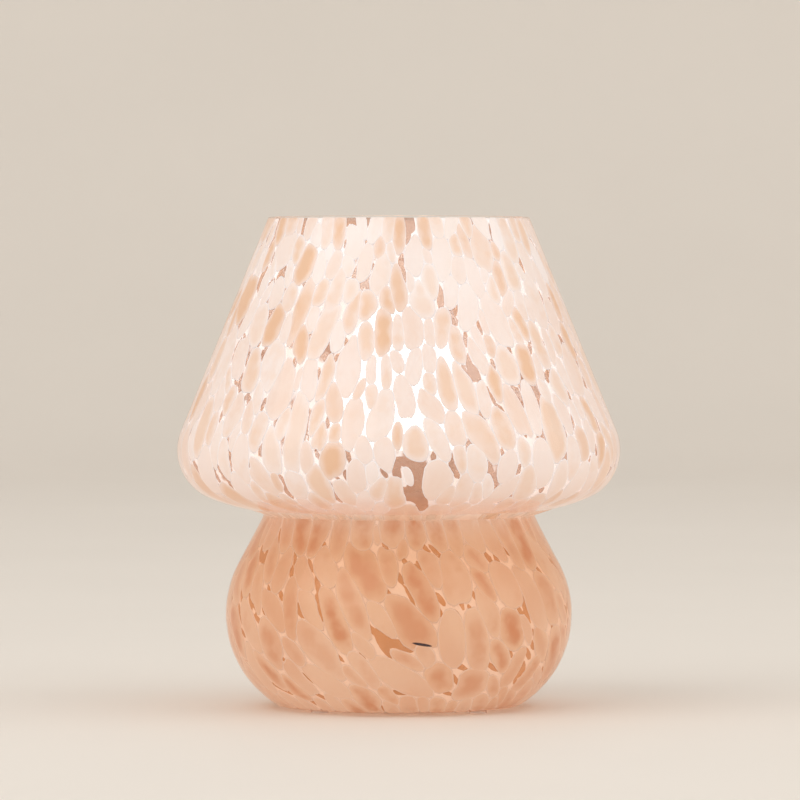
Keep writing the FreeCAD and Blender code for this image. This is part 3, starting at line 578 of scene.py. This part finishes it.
def base_grain(s, rng):
    """The same for the base, where the lean follows the height too."""
    z = height_at(s)
    long = np.interp(z, [3, 15, 40, 75, 95], [18, 24, 34, 30, 22])
    long *= math.exp(rng.normal(0, 0.2))
    wide = long * rng.uniform(0.38, 0.6)
    lean = np.interp(z, [3, 12, 35, 60, 95], [5, 35, 36, 22, 5]) + rng.normal(0, 9)
    tone = rng.uniform(0.84, 0.92) if rng.random() < 0.4 else rng.normal(1.01, 0.04)
    if z < 86 and rng.random() < CLEAR_SHARE:
        return CLEAR_WIDTH, rng.uniform(6, 14), math.radians(lean + 10), 1.0, 1.0
    return wide, long, math.radians(lean), tone, 0.0


# %% All seeds
CORD_CLEAR = 15.0
cord_seed = np.array([[math.pi / 2, length_at(OUTLET_Z), CORD_CLEAR, CORD_CLEAR, 0, 1, 1, 1]])
cap_rng, base_rng = np.random.default_rng(11), np.random.default_rng(5)
cap_seeds = np.vstack([seed_rows(CAP_FRONT, 0.0), seed_rows(CAP_CLEAR, 1.0)])
cap_seeds = throw(cap_seeds, cap_grain, 3, crease_s - 3, CAP_TRIES, cap_rng)
cap_seeds = settle(cap_seeds, 0, crease_s)
base_seeds = np.vstack([seed_rows(BASE_FRONT, 0.0), seed_rows(BASE_CLEAR, 1.0), cord_seed])
base_seeds = throw(base_seeds, base_grain, crease_s + 4, foot_s - 3, BASE_TRIES, base_rng)
base_seeds = settle(base_seeds, crease_s, foot_s)
print("seeds:", len(cap_seeds), "cap,", len(base_seeds), "base")

# %% [markdown]
# ## Making the spots
# Each spot is a closed lens of milky glass just under the surface, a third of a millimetre
# proud of its rim towards the outside and a millimetre towards the inside. Rings at shares
# of the outline's distance carry the shape. The distance to the edge is stored too, since
# real spots have a thin rim, painted paler for the extra light that comes through it, and a
# slightly deeper core. The gap says how far a spot reaches: below 1 it stops short of its
# neighbour, above 1 the two overlap. Round the bulb's dome it is smaller, because there the
# light shows between the spots.

# %% Spots
EDGE_DEPTH, VEIL_DEPTH, RIM_CLEAR = 0.6, 1.0, 0.8


def on_wall(phi, s, depth):
    """Points under the outer wall from angle, length along the wall and depth."""
    r = radius_at(s) - depth * np.interp(s, fine_s, fine_normal[:, 0])
    z = height_at(s) - depth * np.interp(s, fine_s, fine_normal[:, 1])
    return np.stack([r * np.cos(phi), r * np.sin(phi), z], axis=-1)


FRONT_BULGE, BACK_BULGE, OVERLAP = 0.35, 1.1, 0.15
RINGS, INNER_RING, OUTER_RING, RIM_BAND, BACK_RING = 4, 0.55, 0.85, 0.9, 0.8
GOLDEN, LEAST_ROOM = 0.618, 0.5


def lens_faces(rays):
    """Faces of one lens: rings from the front centre out to the rim, then one ring and the
    centre of the back. Corners are numbered centre, rings, back ring, back centre."""
    i = np.arange(rays)
    j = (i + 1) % rays
    rows = [np.stack([np.zeros(rays, int), 1 + j, 1 + i], axis=1)]
    for ring in range(RINGS - 1):
        low, high = 1 + ring * rays, 1 + (ring + 1) * rays
        rows.append(np.stack([low + i, high + j, high + i], axis=1))
        rows.append(np.stack([low + i, low + j, high + j], axis=1))
    last = 1 + (RINGS - 1) * rays
    rows.append(np.stack([last + i, last + j, np.full(rays, last + rays)], axis=1))
    return np.concatenate(rows)


def lenses(name, seeds, ray, edge, low, high, rise=0.0):
    """All spots of a region as one mesh. A ring's point is the seed plus its share of the
    edge distance along the ray; its depth follows one minus the share to the fourth, less
    rise, which brings the lens nearer to the surface."""
    half_width = ((edge[:, 0] + edge[:, RAYS // 2]) / 2)[:, None, None]
    share = np.stack([
        np.full_like(edge, INNER_RING), np.maximum(OUTER_RING, 1 - RIM_BAND / edge),
        np.ones_like(edge), np.full_like(edge, BACK_RING),
    ], axis=1)
    depth = EDGE_DEPTH - FRONT_BULGE * (1 - share**4)
    depth[:, -1] = EDGE_DEPTH + BACK_BULGE * (1 - BACK_RING**4)
    place = ray[:, None] * (edge[:, None] * share)[..., None]
    count = len(seeds)
    centre = np.zeros((count, 1, 2))
    flat = np.concatenate([centre, place.reshape(count, -1, 2), centre], axis=1)
    depth = np.concatenate([
        np.full((count, 1), EDGE_DEPTH - FRONT_BULGE), depth.reshape(count, -1),
        np.full((count, 1), EDGE_DEPTH + BACK_BULGE),
    ], axis=1)
    turn_of_luck = np.arange(count) * GOLDEN % 1
    depth = depth - OVERLAP * turn_of_luck[:, None] - rise
    radius = radius_at(seeds[:, 1])[:, None]
    s = np.clip(seeds[:, 1, None] + flat[..., 1], low, high)
    points = on_wall(seeds[:, 0, None] + flat[..., 0] / radius, s, depth)
    per_spot = points.shape[1]
    faces = lens_faces(RAYS)[None] + (np.arange(count) * per_spot)[:, None, None]
    piece = solid(name, points.reshape(-1, 3), faces.reshape(-1, 3))
    inward = np.minimum((1 - share) * edge[:, None], half_width * np.sqrt(1 - share**2))
    middle = half_width[:, 0]
    per_point(piece, "edge", np.concatenate([middle, inward.reshape(count, -1), middle], axis=1))
    per_point(piece, "tone", np.repeat(seeds[:, 5, None], per_spot, axis=1))
    per_point(piece, "spot", np.repeat(turn_of_luck[:, None], per_spot, axis=1))
    per_point(piece, "glow", np.interp(s, fine_s, fine_glow))
    print(name, count, "spots", len(piece.data.polygons), "triangles")
    return piece


def spot_lenses(name, seeds, low, high, gap):
    """The lenses of all grains that have room; clear seeds only push the others aside."""
    ray, edge = outlines(seeds, gap)
    kept = (seeds[:, 6] == 0) & (edge.min(axis=1) > LEAST_ROOM)
    return lenses(name, seeds[kept], ray[kept], edge[kept], low, high)


seed_z = height_at(cap_seeds[:, 1])
CAP_GAP, BASE_GAP = np.interp(seed_z, [110, 135, 180, 215], [1.15, 1.04, 1.05, 1.15]), 1.08
cap_spots = spot_lenses("cap_spots", cap_seeds, RIM_CLEAR, crease_s, CAP_GAP)
base_spots = spot_lenses("base_spots", base_seeds, crease_s, foot_s, BASE_GAP)

# %% [markdown]
# ## A dark splinter
# Low in the front of the base a thin dark splinter lies between the spots, as grains of
# another colour do get into such glass. It is a lens like the others, in the shape of its
# seed's ellipse, and a little nearer to the surface, so that no spot covers it.

# %% Grey grain
GRAIN, GRAIN_RISE = [(11.3, 36.2, 1.5, 10.0, 80.0, 1.0)], 0.15
grain_seed = seed_rows(GRAIN, 0.0)
grain_seed[:, 3] = GRAIN[0][3]
circle = np.stack([np.cos(all_round(RAYS)), np.sin(all_round(RAYS))])
half = np.linalg.inv(frames(grain_seed)[0]) @ circle
reach = np.linalg.norm(half, axis=0)
grain_ray = (half / reach).T[None]
grain = lenses("grey_grain", grain_seed, grain_ray, reach[None], crease_s, foot_s, GRAIN_RISE)

# %% [markdown]
# ## The layer between the spots
# Where two grains meet, the glass between them is a thin veil of the same milk. Where a
# patch stayed clear, the sheet takes a rosy brown that is painted darker where less light
# arrives. Both are one thin sheet, a millimetre under the surface, which the spots reach
# through on both sides.
# Each of its points knows how deep it lies inside a clear patch. The veil is thinnest where
# most light falls, so the bulb's dome shows white through it.

# %% Veil
VEIL_SEGMENTS, VEIL_STEP, BLOCK, FAR = 320, 1.9, 2000, 99.0


def clearness(places, seeds):
    """How much nearer, in half sizes, the nearest clear seed is than the nearest grain. A
    seed on the other side of the waist counts as FAR, and places come in blocks."""
    found, is_clear = np.empty(len(places)), seeds[:, 6] > 0
    for start in range(0, len(places), BLOCK):
        here = places[start:start + BLOCK, None]
        step = offsets(here, seeds[None], radius_at(seeds[:, 1]))
        far = np.linalg.norm(np.einsum("nab,mnb->mna", frames(seeds), step), axis=2)
        beyond = (here[..., 1] > crease_s) != (seeds[None, :, 1] > crease_s)
        far = np.where(beyond, FAR, far)
        found[start:start + BLOCK] = far[:, ~is_clear].min(axis=1) - far[:, is_clear].min(axis=1)
    return found


veil_s = np.concatenate([
    np.linspace(RIM_CLEAR, crease_s, int(crease_s / VEIL_STEP)),
    np.linspace(crease_s, foot_s, int((foot_s - crease_s) / VEIL_STEP))[1:],
])
grid_s, grid_phi = np.meshgrid(veil_s, all_round(VEIL_SEGMENTS), indexing="ij")
veil_faces = bands(len(veil_s), VEIL_SEGMENTS, falling=True)
veil_points = on_wall(grid_phi, grid_s, VEIL_DEPTH).reshape(-1, 3)
centres = veil_points[veil_faces].mean(axis=1)
off_hole = (np.hypot(centres[:, 0], centres[:, 2] - OUTLET_Z) > OUTLET_R + 1) | (centres[:, 1] < 0)
veil = solid("veil", veil_points, veil_faces[off_hole])
per_point(veil, "glow", np.interp(grid_s, fine_s, fine_glow))
places = np.stack([grid_phi.ravel(), grid_s.ravel()], axis=1)
per_point(veil, "clear", clearness(places, np.vstack([cap_seeds, base_seeds])))
print("veil:", 2 * off_hole.sum(), "triangles")

# %% [markdown]
# ## The contact's spring
# Under the centre contact sits a small coil spring, which shortens when a bulb's tip
# presses on it. The coil is wound here, as a tube along a helix, in place of the rigid
# spring.

# %% Spring
SPRING_R, WIRE_R, SPRING_TURNS, TRAVEL = 2.1, 0.25, 5, 1.0


def coil(radius, wire, low, high, turns, steps=24, sides=10):
    """A tube round a helix: the centre climbs evenly with the turn, and each ring lies
    across the helix, spanned by the way outward and by along crossed with outward."""
    share = np.linspace(0, 1, turns * steps + 1)[:, None]
    turn = 2 * math.pi * turns * share
    outward = np.concatenate([np.cos(turn), np.sin(turn), 0 * turn], axis=1)
    centre = radius * outward + (low + (high - low) * share) * np.array([0, 0, 1.0])
    along = np.concatenate([-np.sin(turn), np.cos(turn), 0 * turn], axis=1)
    along = along * 2 * math.pi * turns * radius + np.array([0, 0, high - low])
    along /= np.linalg.norm(along, axis=1, keepdims=True)
    around = all_round(sides)[None, :, None]
    ring = np.cos(around) * outward[:, None] + np.sin(around) * np.cross(along, outward)[:, None]
    return (centre[:, None] + wire * ring).reshape(-1, 3), tube_faces(turns * steps + 1, sides)


spring_low, spring_high = (corner.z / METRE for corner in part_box("plunger_spring"))
wound = coil(SPRING_R, WIRE_R, spring_low + WIRE_R, spring_high - WIRE_R, SPRING_TURNS)
spring = solid("contact_spring", *wound)
print("spring:", round(spring_high - spring_low, 2), "mm long,", len(spring.data.polygons), "faces")

# %% [markdown]
# ## Node arithmetic
# Finishes are formulas over the surface. `Value` wraps a socket, so that a formula can be
# written as plain Python, and `Bench` holds the node tree of one finish.

# %% Bench and Value
class Value:
    """A number on a socket. Each operator adds one Math node to its bench."""

    def __init__(self, bench, socket):
        self.bench, self.socket = bench, socket

    def math(self, operation, *values):
        return self.bench.node("ShaderNodeMath", {"operation": operation}, dict(enumerate(values)))

    def __add__(self, other):
        return self.math("ADD", self, other)

    def __mul__(self, other):
        return self.math("MULTIPLY", self, other)

    __radd__, __rmul__ = __add__, __mul__

    def __sub__(self, other):
        return self.math("SUBTRACT", self, other)

    def __rsub__(self, other):
        return self.math("SUBTRACT", other, self)

    def __pow__(self, other):
        return self.math("POWER", self, other)

    def rise(self, low, high):
        """0 below low, 1 above high, smooth in between."""
        return self.bench.node("ShaderNodeMapRange", {"interpolation_type": "SMOOTHSTEP"},
                               {"Value": self, "From Min": low, "From Max": high})

    def clamp(self):
        """The value kept between 0 and 1."""
        return self.bench.node("ShaderNodeClamp", {}, {"Value": self})


class Bench:
    """The node tree of one finish."""

    def __init__(self, name):
        self.material = bpy.data.materials.new(name)
        self.material.use_nodes = True
        self.tree = self.material.node_tree
        self.tree.nodes.clear()

    def node(self, kind, settings=(), inputs=(), out=0):
        """Adds a node: settings first, a ramp's stops among them, then values and links."""
        made = self.tree.nodes.new(kind)
        for key, value in dict(settings).items():
            if key == "stops":
                for i, (place, colour) in enumerate(value):
                    stops = made.color_ramp.elements
                    stop = stops[i] if i < 2 else stops.new(place)
                    stop.position, stop.color = place, (*colour, 1)
            else:
                setattr(made, key, value)
        for key, value in dict(inputs).items():
            if isinstance(value, Value):
                self.tree.links.new(value.socket, made.inputs[key])
            else:
                made.inputs[key].default_value = value
        return Value(self, made.outputs[out]) if made.outputs else self.material

    def vector(self, operation, inputs, out=0):
        return self.node("ShaderNodeVectorMath", {"operation": operation}, inputs, out)

    def place(self, stretch=(1, 1, 1)):
        """Object coordinates in metres, stretched along each axis."""
        where = self.node("ShaderNodeTexCoord", out="Object")
        return self.vector("MULTIPLY", {0: where, 1: stretch})

    def height(self):
        return self.node("ShaderNodeSeparateXYZ", {}, {0: self.place()}, out=2)

    def noise(self, scale, detail=2.0, place=None):
        """Clouds from 0 to 1, about scale of them to a metre."""
        return self.node("ShaderNodeTexNoise", {},
                         {"Vector": place or self.place(), "Scale": scale, "Detail": detail})

    def stored(self, name):
        """The number that per_point stored under that name."""
        return self.node("ShaderNodeAttribute", {"attribute_name": name}, out="Fac")

    def ramp(self, value, stops):
        return self.node("ShaderNodeValToRGB", {"stops": stops}, {"Fac": value})

    def mix(self, factor, low, high):
        low, high = ((*c, 1) if isinstance(c, tuple) else c for c in (low, high))
        inputs = {0: factor, 6: low, 7: high}
        return self.node("ShaderNodeMix", {"data_type": "RGBA"}, inputs, out=2)

    def dim(self, colour, share):
        return self.vector("SCALE", {0: colour, "Scale": share})

    def bump(self, height, depth):
        """A normal from a height of 0 to 1 that stands for depth metres."""
        return self.node("ShaderNodeBump", {}, {"Height": height, "Distance": depth})

    def done(self, shader):
        return self.node("ShaderNodeOutputMaterial", {}, {"Surface": shader})

    def principled(self, **sockets):
        inputs = {name.replace("_", " "): value for name, value in sockets.items()}
        return self.node("ShaderNodeBsdfPrincipled", {}, inputs)

    def over_clear(self, share, shader):
        """The finish that is shader by that share, and see-through otherwise."""
        clear = self.node("ShaderNodeBsdfTransparent")
        return self.done(self.node("ShaderNodeMixShader", {}, {0: share, 1: clear, 2: shader}))


# %% [markdown]
# ## Milky spots
# Each spot is opal glass lit from inside, so most of its colour is glow. A ramp turns the
# light that reaches the place into a colour: rosy where little arrives, cream where much
# does. The heart of a spot is thicker and a little deeper in colour. Its thin rim is painted
# paler, with the colour of more light, because more of the bulb's light comes through thin
# glass. LIT is the share of the colour that answers to the room's light, and the emission,
# the bulb's light painted on as glow, gives the rest, so that the sum comes out about as
# the colour is written.

# %% Spot finishes
GLOW_STOPS = [
    (0.25, (0.62, 0.25, 0.12)), (0.36, (0.76, 0.40, 0.22)), (0.44, (0.81, 0.47, 0.29)),
    (0.64, (0.87, 0.60, 0.45)), (0.80, (0.94, 0.76, 0.67)), (0.92, (0.98, 0.88, 0.83)),
    (1.00, (1.00, 0.95, 0.94)),
]
# The last two are emission strengths: the bulb's light through spots and veil, painted on as glow.
LIT, SPOT_GLOW, VEIL_GLOW = 0.45, 0.55, 0.68


def milky_spots(name, heart, heart_depth, heart_gain, heart_edge, rim_edge, rim_glow_gain, drift):
    """The glass of the spots. Level, glow times a share of tone, chooses the ramp's colour.
    The heart's colour comes in by luck times heart_depth plus (1 - tone) times heart_gain,
    heart_edge mm inside the outline. Within rim_edge mm the ramp is read at level times the
    rim's gain, which is painted light for the thin rim."""
    b = Bench(name)
    edge, tone, glow = b.stored("edge"), b.stored("tone"), b.stored("glow")
    level = glow * (tone * 0.4 + 0.6)
    cloud, wisps = b.noise(110.0), b.noise(420.0, 4.0, b.place((1, 1, 0.4)))
    inside = (edge + (cloud - 0.5) * heart_edge).rise(heart_edge * 0.05, heart_edge)
    own = (b.stored("spot") + cloud).rise(0.75, 1.35) * heart_depth + (1 - tone) * heart_gain
    own = own.clamp()
    deep = b.mix(level.rise(0.3, 1.0), *heart)
    colour = b.mix(inside * own, b.ramp(level + (wisps - 0.5) * 0.05, GLOW_STOPS), deep)
    colour = b.mix(b.noise(28.0, 1.0).rise(0.45, 0.75) * drift, colour, deep)
    # Painted light: the thin rim takes the ramp's colour for more light, as more of the bulb's
    # light comes through it.
    rim_glow = b.ramp(level * rim_glow_gain, GLOW_STOPS)
    colour = b.mix((1 - edge.rise(rim_edge * 0.3, rim_edge)) * 0.8, colour, rim_glow)
    return b.done(b.principled(
        Base_Color=b.dim(colour, LIT), Emission_Color=colour, Emission_Strength=SPOT_GLOW,
        Roughness=0.3 + wisps * 0.12, Specular_IOR_Level=0.2, Normal=b.bump(wisps, 0.00005),
    ))


cap_milk = milky_spots(
    "cap_milk", heart=((0.72, 0.36, 0.20), (0.91, 0.63, 0.43)), heart_depth=0.55, heart_gain=2.7,
    heart_edge=4.5, rim_edge=0.8, rim_glow_gain=1.18, drift=0.15)
base_milk = milky_spots(
    "base_milk", heart=((0.64, 0.235, 0.10), (0.84, 0.50, 0.33)), heart_depth=0.7, heart_gain=4.5,
    heart_edge=8.0, rim_edge=1.1, rim_glow_gain=1.2, drift=0.3)
print("spot finishes:", cap_milk.name, base_milk.name)

# %% [markdown]
# ## Veil and clear glass
# Where the veil is milky it has the colour of the spots' rims, the same painted glow, and
# hides what is behind; in a clear patch it is partly see-through and takes a rosy brown,
# painted darker where less light arrives. Slivers of the same brown turn up between the
# spots too, where a broad noise allows them. The clear wall itself only adds gloss: a rosy
# reflection that grows towards grazing angles. Layer Weight's Facing is used for that,
# because it behaves alike on both sides of a wall.

# %% Veil and clear finishes
# Painted shade: the brown of clear patches, by the light that arrives, darkest where least does.
CLEAR_SHADE_STOPS = [
    (0.20, (0.42, 0.15, 0.05)), (0.44, (0.60, 0.23, 0.08)), (0.80, (0.45, 0.225, 0.145)),
    (0.95, (0.52, 0.31, 0.22)),
]


def veil_finish():
    """Patch, the share of clear glass, is the stored clearness plus the slivers. It blends
    milk into the clear patches' brown, painted darker where less light arrives, and the
    share that hides what is behind from milky to open."""
    b = Bench("milk_veil")
    cloud, glow = b.noise(140.0, 3.0), b.stored("glow")
    slivers = b.noise(48.0, 3.0, b.place((1, 1, 0.6))).rise(0.57, 0.63) * glow.rise(0.5, 0.6)
    patch = (b.stored("clear").rise(-0.14, 0.0) + slivers).clamp()
    # Painted shade: the clear patches' brown follows the stored glow.
    clear_shade = b.ramp(glow + (cloud - 0.5) * 0.2, CLEAR_SHADE_STOPS)
    colour = b.mix(patch, b.ramp(glow * 1.15, GLOW_STOPS), clear_shade)
    skin = b.principled(Base_Color=b.dim(colour, LIT), Emission_Color=colour, Roughness=0.4,
                        Emission_Strength=VEIL_GLOW, Specular_IOR_Level=0.2)
    milky, open_glass = 1.15 - glow * 0.47, 0.98 - glow * 0.36
    hidden = milky + (cloud - 0.5) * 0.2 + patch * (open_glass - milky)
    return b.over_clear(hidden, skin)


def clear_wall(name, haze, roughness):
    """Clear material: a mirror's share of haze plus the third power of Facing."""
    b = Bench(name)
    facing = b.node("ShaderNodeLayerWeight", {}, {"Blend": 0.5}, out="Facing")
    share = facing ** 3.0 * 0.62 + haze + b.noise(60.0) * 0.01
    gloss = b.principled(Base_Color=(0.84, 0.58, 0.46, 1), Metallic=1.0, Roughness=roughness)
    return b.over_clear(share, gloss)


milk_veil = veil_finish()
blown_glass = clear_wall("blown_glass", haze=0.012, roughness=0.05)
soft_silicone = clear_wall("soft_silicone", haze=0.25, roughness=0.35)
print("veil and clear finishes:", milk_veil.name, blown_glass.name, soft_silicone.name)

# %% [markdown]
# ## Smoky glass and the bulb's dome
# The splinter is near black, and browner at its thin rim. The dome is moulded opal plastic,
# lit from below by the chips: near white above and a shade warmer near the
# lower lip. It has to read as pure white through the gaps.

# %% Splinter and dome finishes
def smoke():
    """Brown at the rim and near black from half a millimetre inside it."""
    b = Bench("smoky_glass")
    shade = b.mix(b.stored("edge").rise(0.0, 0.5), (0.30, 0.12, 0.07), (0.035, 0.02, 0.025))
    return b.done(b.principled(Base_Color=shade, Roughness=0.25 + b.noise(500.0) * 0.1))


def lit_dome():
    """Emission that rises from warm to near white over the lowest 32 mm of the dome."""
    b = Bench("lit_dome")
    colour = b.mix(b.height().rise(0.128, 0.16), (1.0, 0.84, 0.66), (1.0, 0.95, 0.87))
    return b.done(b.principled(Base_Color=(0.9, 0.88, 0.84, 1), Emission_Color=colour,
                               Emission_Strength=5.0, Roughness=0.4 + b.noise(900.0) * 0.1))


smoky_glass, opal_dome = smoke(), lit_dome()
print("inside the wall and the cap:", smoky_glass.name, opal_dome.name)

# %% [markdown]
# ## Moulded, glazed and sprayed pieces
# Injection-moulded plastic, glazed ceramic, enamel and rubber differ in gloss, in the size
# of their surface grain and in how even their colour is. One formula with those numbers
# makes them all: colour and roughness drift with a broad noise, and a fine one gives grain.

# %% Moulded finishes
def moulded(name, colour, roughness, grain, depth, drift=0.06):
    """Colour times one plus or minus drift, with grain of that size and depth in metres."""
    b = Bench(name)
    broad, fine = b.noise(70.0, 3.0), b.noise(1 / grain, 2.0)
    shade = b.mix(broad.rise(0.3, 0.7), tuple(c * (1 - drift) for c in colour),
                  tuple(min(1.0, c * (1 + drift)) for c in colour))
    return b.done(b.principled(Base_Color=shade, Roughness=roughness + broad * 0.08,
                               Normal=b.bump(fine, depth)))


def marked_board(name, colour, mark, roughness):
    """A circuit board: its solder mask, with lighter tracks where a cell pattern runs."""
    b = Bench(name)
    cells = b.node("ShaderNodeTexVoronoi", {"feature": "DISTANCE_TO_EDGE"},
                   {"Vector": b.place(), "Scale": 320.0})
    track = 1 - cells.rise(0.04, 0.07)
    shade = b.mix(track, colour, mark)
    return b.done(b.principled(Base_Color=shade, Roughness=roughness + b.noise(300.0) * 0.1,
                               Normal=b.bump(track, 0.00004)))


# %% [markdown]
# ## Turned and plated metal
# The nut, tube, contacts and shells are turned, drawn or spun, which leaves fine rings
# round the axis. Noise over height and distance from the axis gives those rings, and they
# go into roughness and bump. Plating adds slight clouds of colour.

# %% Metal finishes
def turned(name, colour, roughness, ring=0.0002, cloud=0.08):
    """Metal with rings about ring metres apart round the z axis."""
    b = Bench(name)
    radius = b.vector("LENGTH", {0: b.place((1, 1, 0))}, "Value")
    across = b.node("ShaderNodeCombineXYZ", {}, {0: radius, 2: b.height()})
    rings, clouds = b.noise(1 / ring, 2.0, across), b.noise(90.0, 3.0)
    shade = b.mix(clouds.rise(0.3, 0.7), tuple(c * (1 - cloud) for c in colour), colour)
    return b.done(b.principled(Base_Color=shade, Metallic=1.0, Roughness=roughness + rings * 0.15,
                               Normal=b.bump(rings, ring * 0.05)))


# %% [markdown]
# ## Dressing the pieces
# Every piece gets its finish here, by the material slot that the record gives its node.
# The glass wall stands for the CAD body, and the veil and spots ride with it. The coil
# stands for the rigid spring.

# %% Finishes by slot
finishes = {
    "clear_silicone": soft_silicone,
    "grommet_rubber": moulded("pale_rubber", (0.78, 0.75, 0.70), 0.55, 0.0006, 0.00005),
    "gasket_rubber": moulded("black_rubber", (0.035, 0.035, 0.035), 0.7, 0.0008, 0.00008, 0.2),
    "zinc_steel": turned("zinc_plate", (0.66, 0.67, 0.66), 0.28),
    "white_enamel": moulded("white_enamel", (0.84, 0.83, 0.80), 0.22, 0.0015, 0.00004, 0.02),
    "brass": turned("drawn_brass", (0.78, 0.56, 0.25), 0.22),
    "holder_plastic": moulded("holder_plastic", (0.82, 0.81, 0.78), 0.30, 0.0009, 0.00003, 0.03),
    "core_ceramic": moulded("glazed_core", (0.84, 0.83, 0.79), 0.12, 0.0025, 0.00005, 0.04),
    "spring_steel": turned("spring_wire", (0.70, 0.70, 0.71), 0.15),
    "nickel_cap": turned("nickel_plate", (0.74, 0.72, 0.68), 0.18),
    "black_glass": moulded("black_glass", (0.025, 0.025, 0.03), 0.08, 0.003, 0.00003, 0.2),
    "bulb_plastic": moulded("bulb_plastic", (0.80, 0.76, 0.72), 0.35, 0.0007, 0.00003, 0.03),
    "sink_aluminium": turned("spun_aluminium", (0.75, 0.76, 0.77), 0.30, 0.0003),
    "board_white": marked_board("white_board", (0.86, 0.86, 0.83), (0.70, 0.71, 0.68), 0.35),
    "led_phosphor": moulded("phosphor", (0.92, 0.72, 0.20), 0.5, 0.0003, 0.00003, 0.08),
    "driver_green": marked_board("green_board", (0.03, 0.13, 0.05), (0.08, 0.25, 0.10), 0.4),
    "driver_dark": moulded("component_case", (0.03, 0.03, 0.035), 0.45, 0.0005, 0.00004, 0.2),
    "dome_diffuser": opal_dome,
}
slots = {entry["node"]: entry["material_slot"] for entry in frame["record"]["subparts"]}
for node, piece in frame["nodes"].items():
    if slots[node] in finishes:
        piece.data.materials.clear()
        piece.data.materials.append(finishes[slots[node]])
print("finishes:", len(finishes), "on", len(slots), "CAD nodes")

# %% The glass rides with the lamp
glass_layers = {
    glass_wall: blown_glass, veil: milk_veil, cap_spots: cap_milk, base_spots: base_milk,
    grain: smoky_glass,
}
for piece, finish in glass_layers.items():
    piece.data.materials.append(finish)
    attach(piece, "lamp")
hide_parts("glass_body")
print("in the glass:", [piece.name for piece in glass_layers])

# %% The coil stands for the spring
spring.data.materials.append(finishes["spring_steel"])
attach(spring, "lamp")
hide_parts("plunger_spring")
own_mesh(spring)

# %% [markdown]
# ## Room, light and camera
# The lamp stands on a pale round floor whose edge curves up far outside the picture, so
# there is no horizon line from any side. Two large soft lamps and a pale world light it
# evenly. The camera stands a little above the lamp, far off, with a long lens.

# %% Room
FLAT_R, BEND, WALL_TOP, ROOM_SEGMENTS = 3200.0, 1400.0, 3000.0, 96
bend = arc(np.array([FLAT_R, BEND]), BEND, -90, 0)[1:]
middle, top = [[0.0, 0.0], [FLAT_R, 0.0]], [[FLAT_R + BEND, WALL_TOP]]
room_profile = np.concatenate([middle, bend, top])[::-1]
room_points = turned_points(room_profile, ROOM_SEGMENTS)
pale_floor = solid("pale_floor", room_points, bands(len(room_profile), ROOM_SEGMENTS))
b = Bench("pale_paint")
cloud = b.noise(3.0, 4.0)
pale_floor.data.materials.append(b.done(b.principled(
    Base_Color=b.mix(cloud, (0.78, 0.73, 0.67), (0.82, 0.77, 0.71)), Roughness=0.6 + cloud * 0.1)))
print("floor:", FLAT_R / 1000, "m flat all round")

# %% World and lamps
WORLD_COLOUR, WORLD_LIGHT = (1.0, 0.98, 0.95, 1), 0.8
LAMP_SIZE, LAMP_AIM = 3.6, (0, 0, 0.12)
world = bpy.data.worlds.new("pale_world")
world.use_nodes = True
sky = world.node_tree.nodes["Background"]
sky.inputs["Color"].default_value = WORLD_COLOUR
sky.inputs["Strength"].default_value = WORLD_LIGHT
bpy.context.scene.world = world


def aimed(name, data, place, aim):
    """An object at place whose -Z axis points at aim, as lamps and cameras look."""
    made = bpy.data.objects.new(name, data)
    bpy.context.scene.collection.objects.link(made)
    made.location = place
    made.rotation_euler = (Vector(aim) - Vector(place)).to_track_quat("-Z", "Y").to_euler()
    return made


def soft_lamp(name, place, power):
    """A square lamp of LAMP_SIZE metres and that many watts, turned to LAMP_AIM."""
    light = bpy.data.lights.new(name, "AREA")
    light.shape, light.size, light.energy = "SQUARE", LAMP_SIZE, power
    print(aimed(name, light, place, LAMP_AIM).name, power, "W")


soft_lamp("left_lamp", (-2.2, -1.9, 2.4), 46)
soft_lamp("right_lamp", (2.6, -1.2, 2.0), 30)

# %% Camera
LENS, EYE, AIM = 240.3, (0.0, -2.65, 0.21), (0.0006, 0.0, 0.1522)
lens = bpy.data.cameras.new("eye")
lens.lens, lens.sensor_width, lens.clip_end = LENS, 36.0, 50.0
bpy.context.scene.camera = aimed("eye", lens, EYE, AIM)
bpy.context.scene.view_settings.view_transform = "Standard"
print("camera:", round((Vector(AIM) - Vector(EYE)).length, 2), "m away, lens", LENS, "mm")
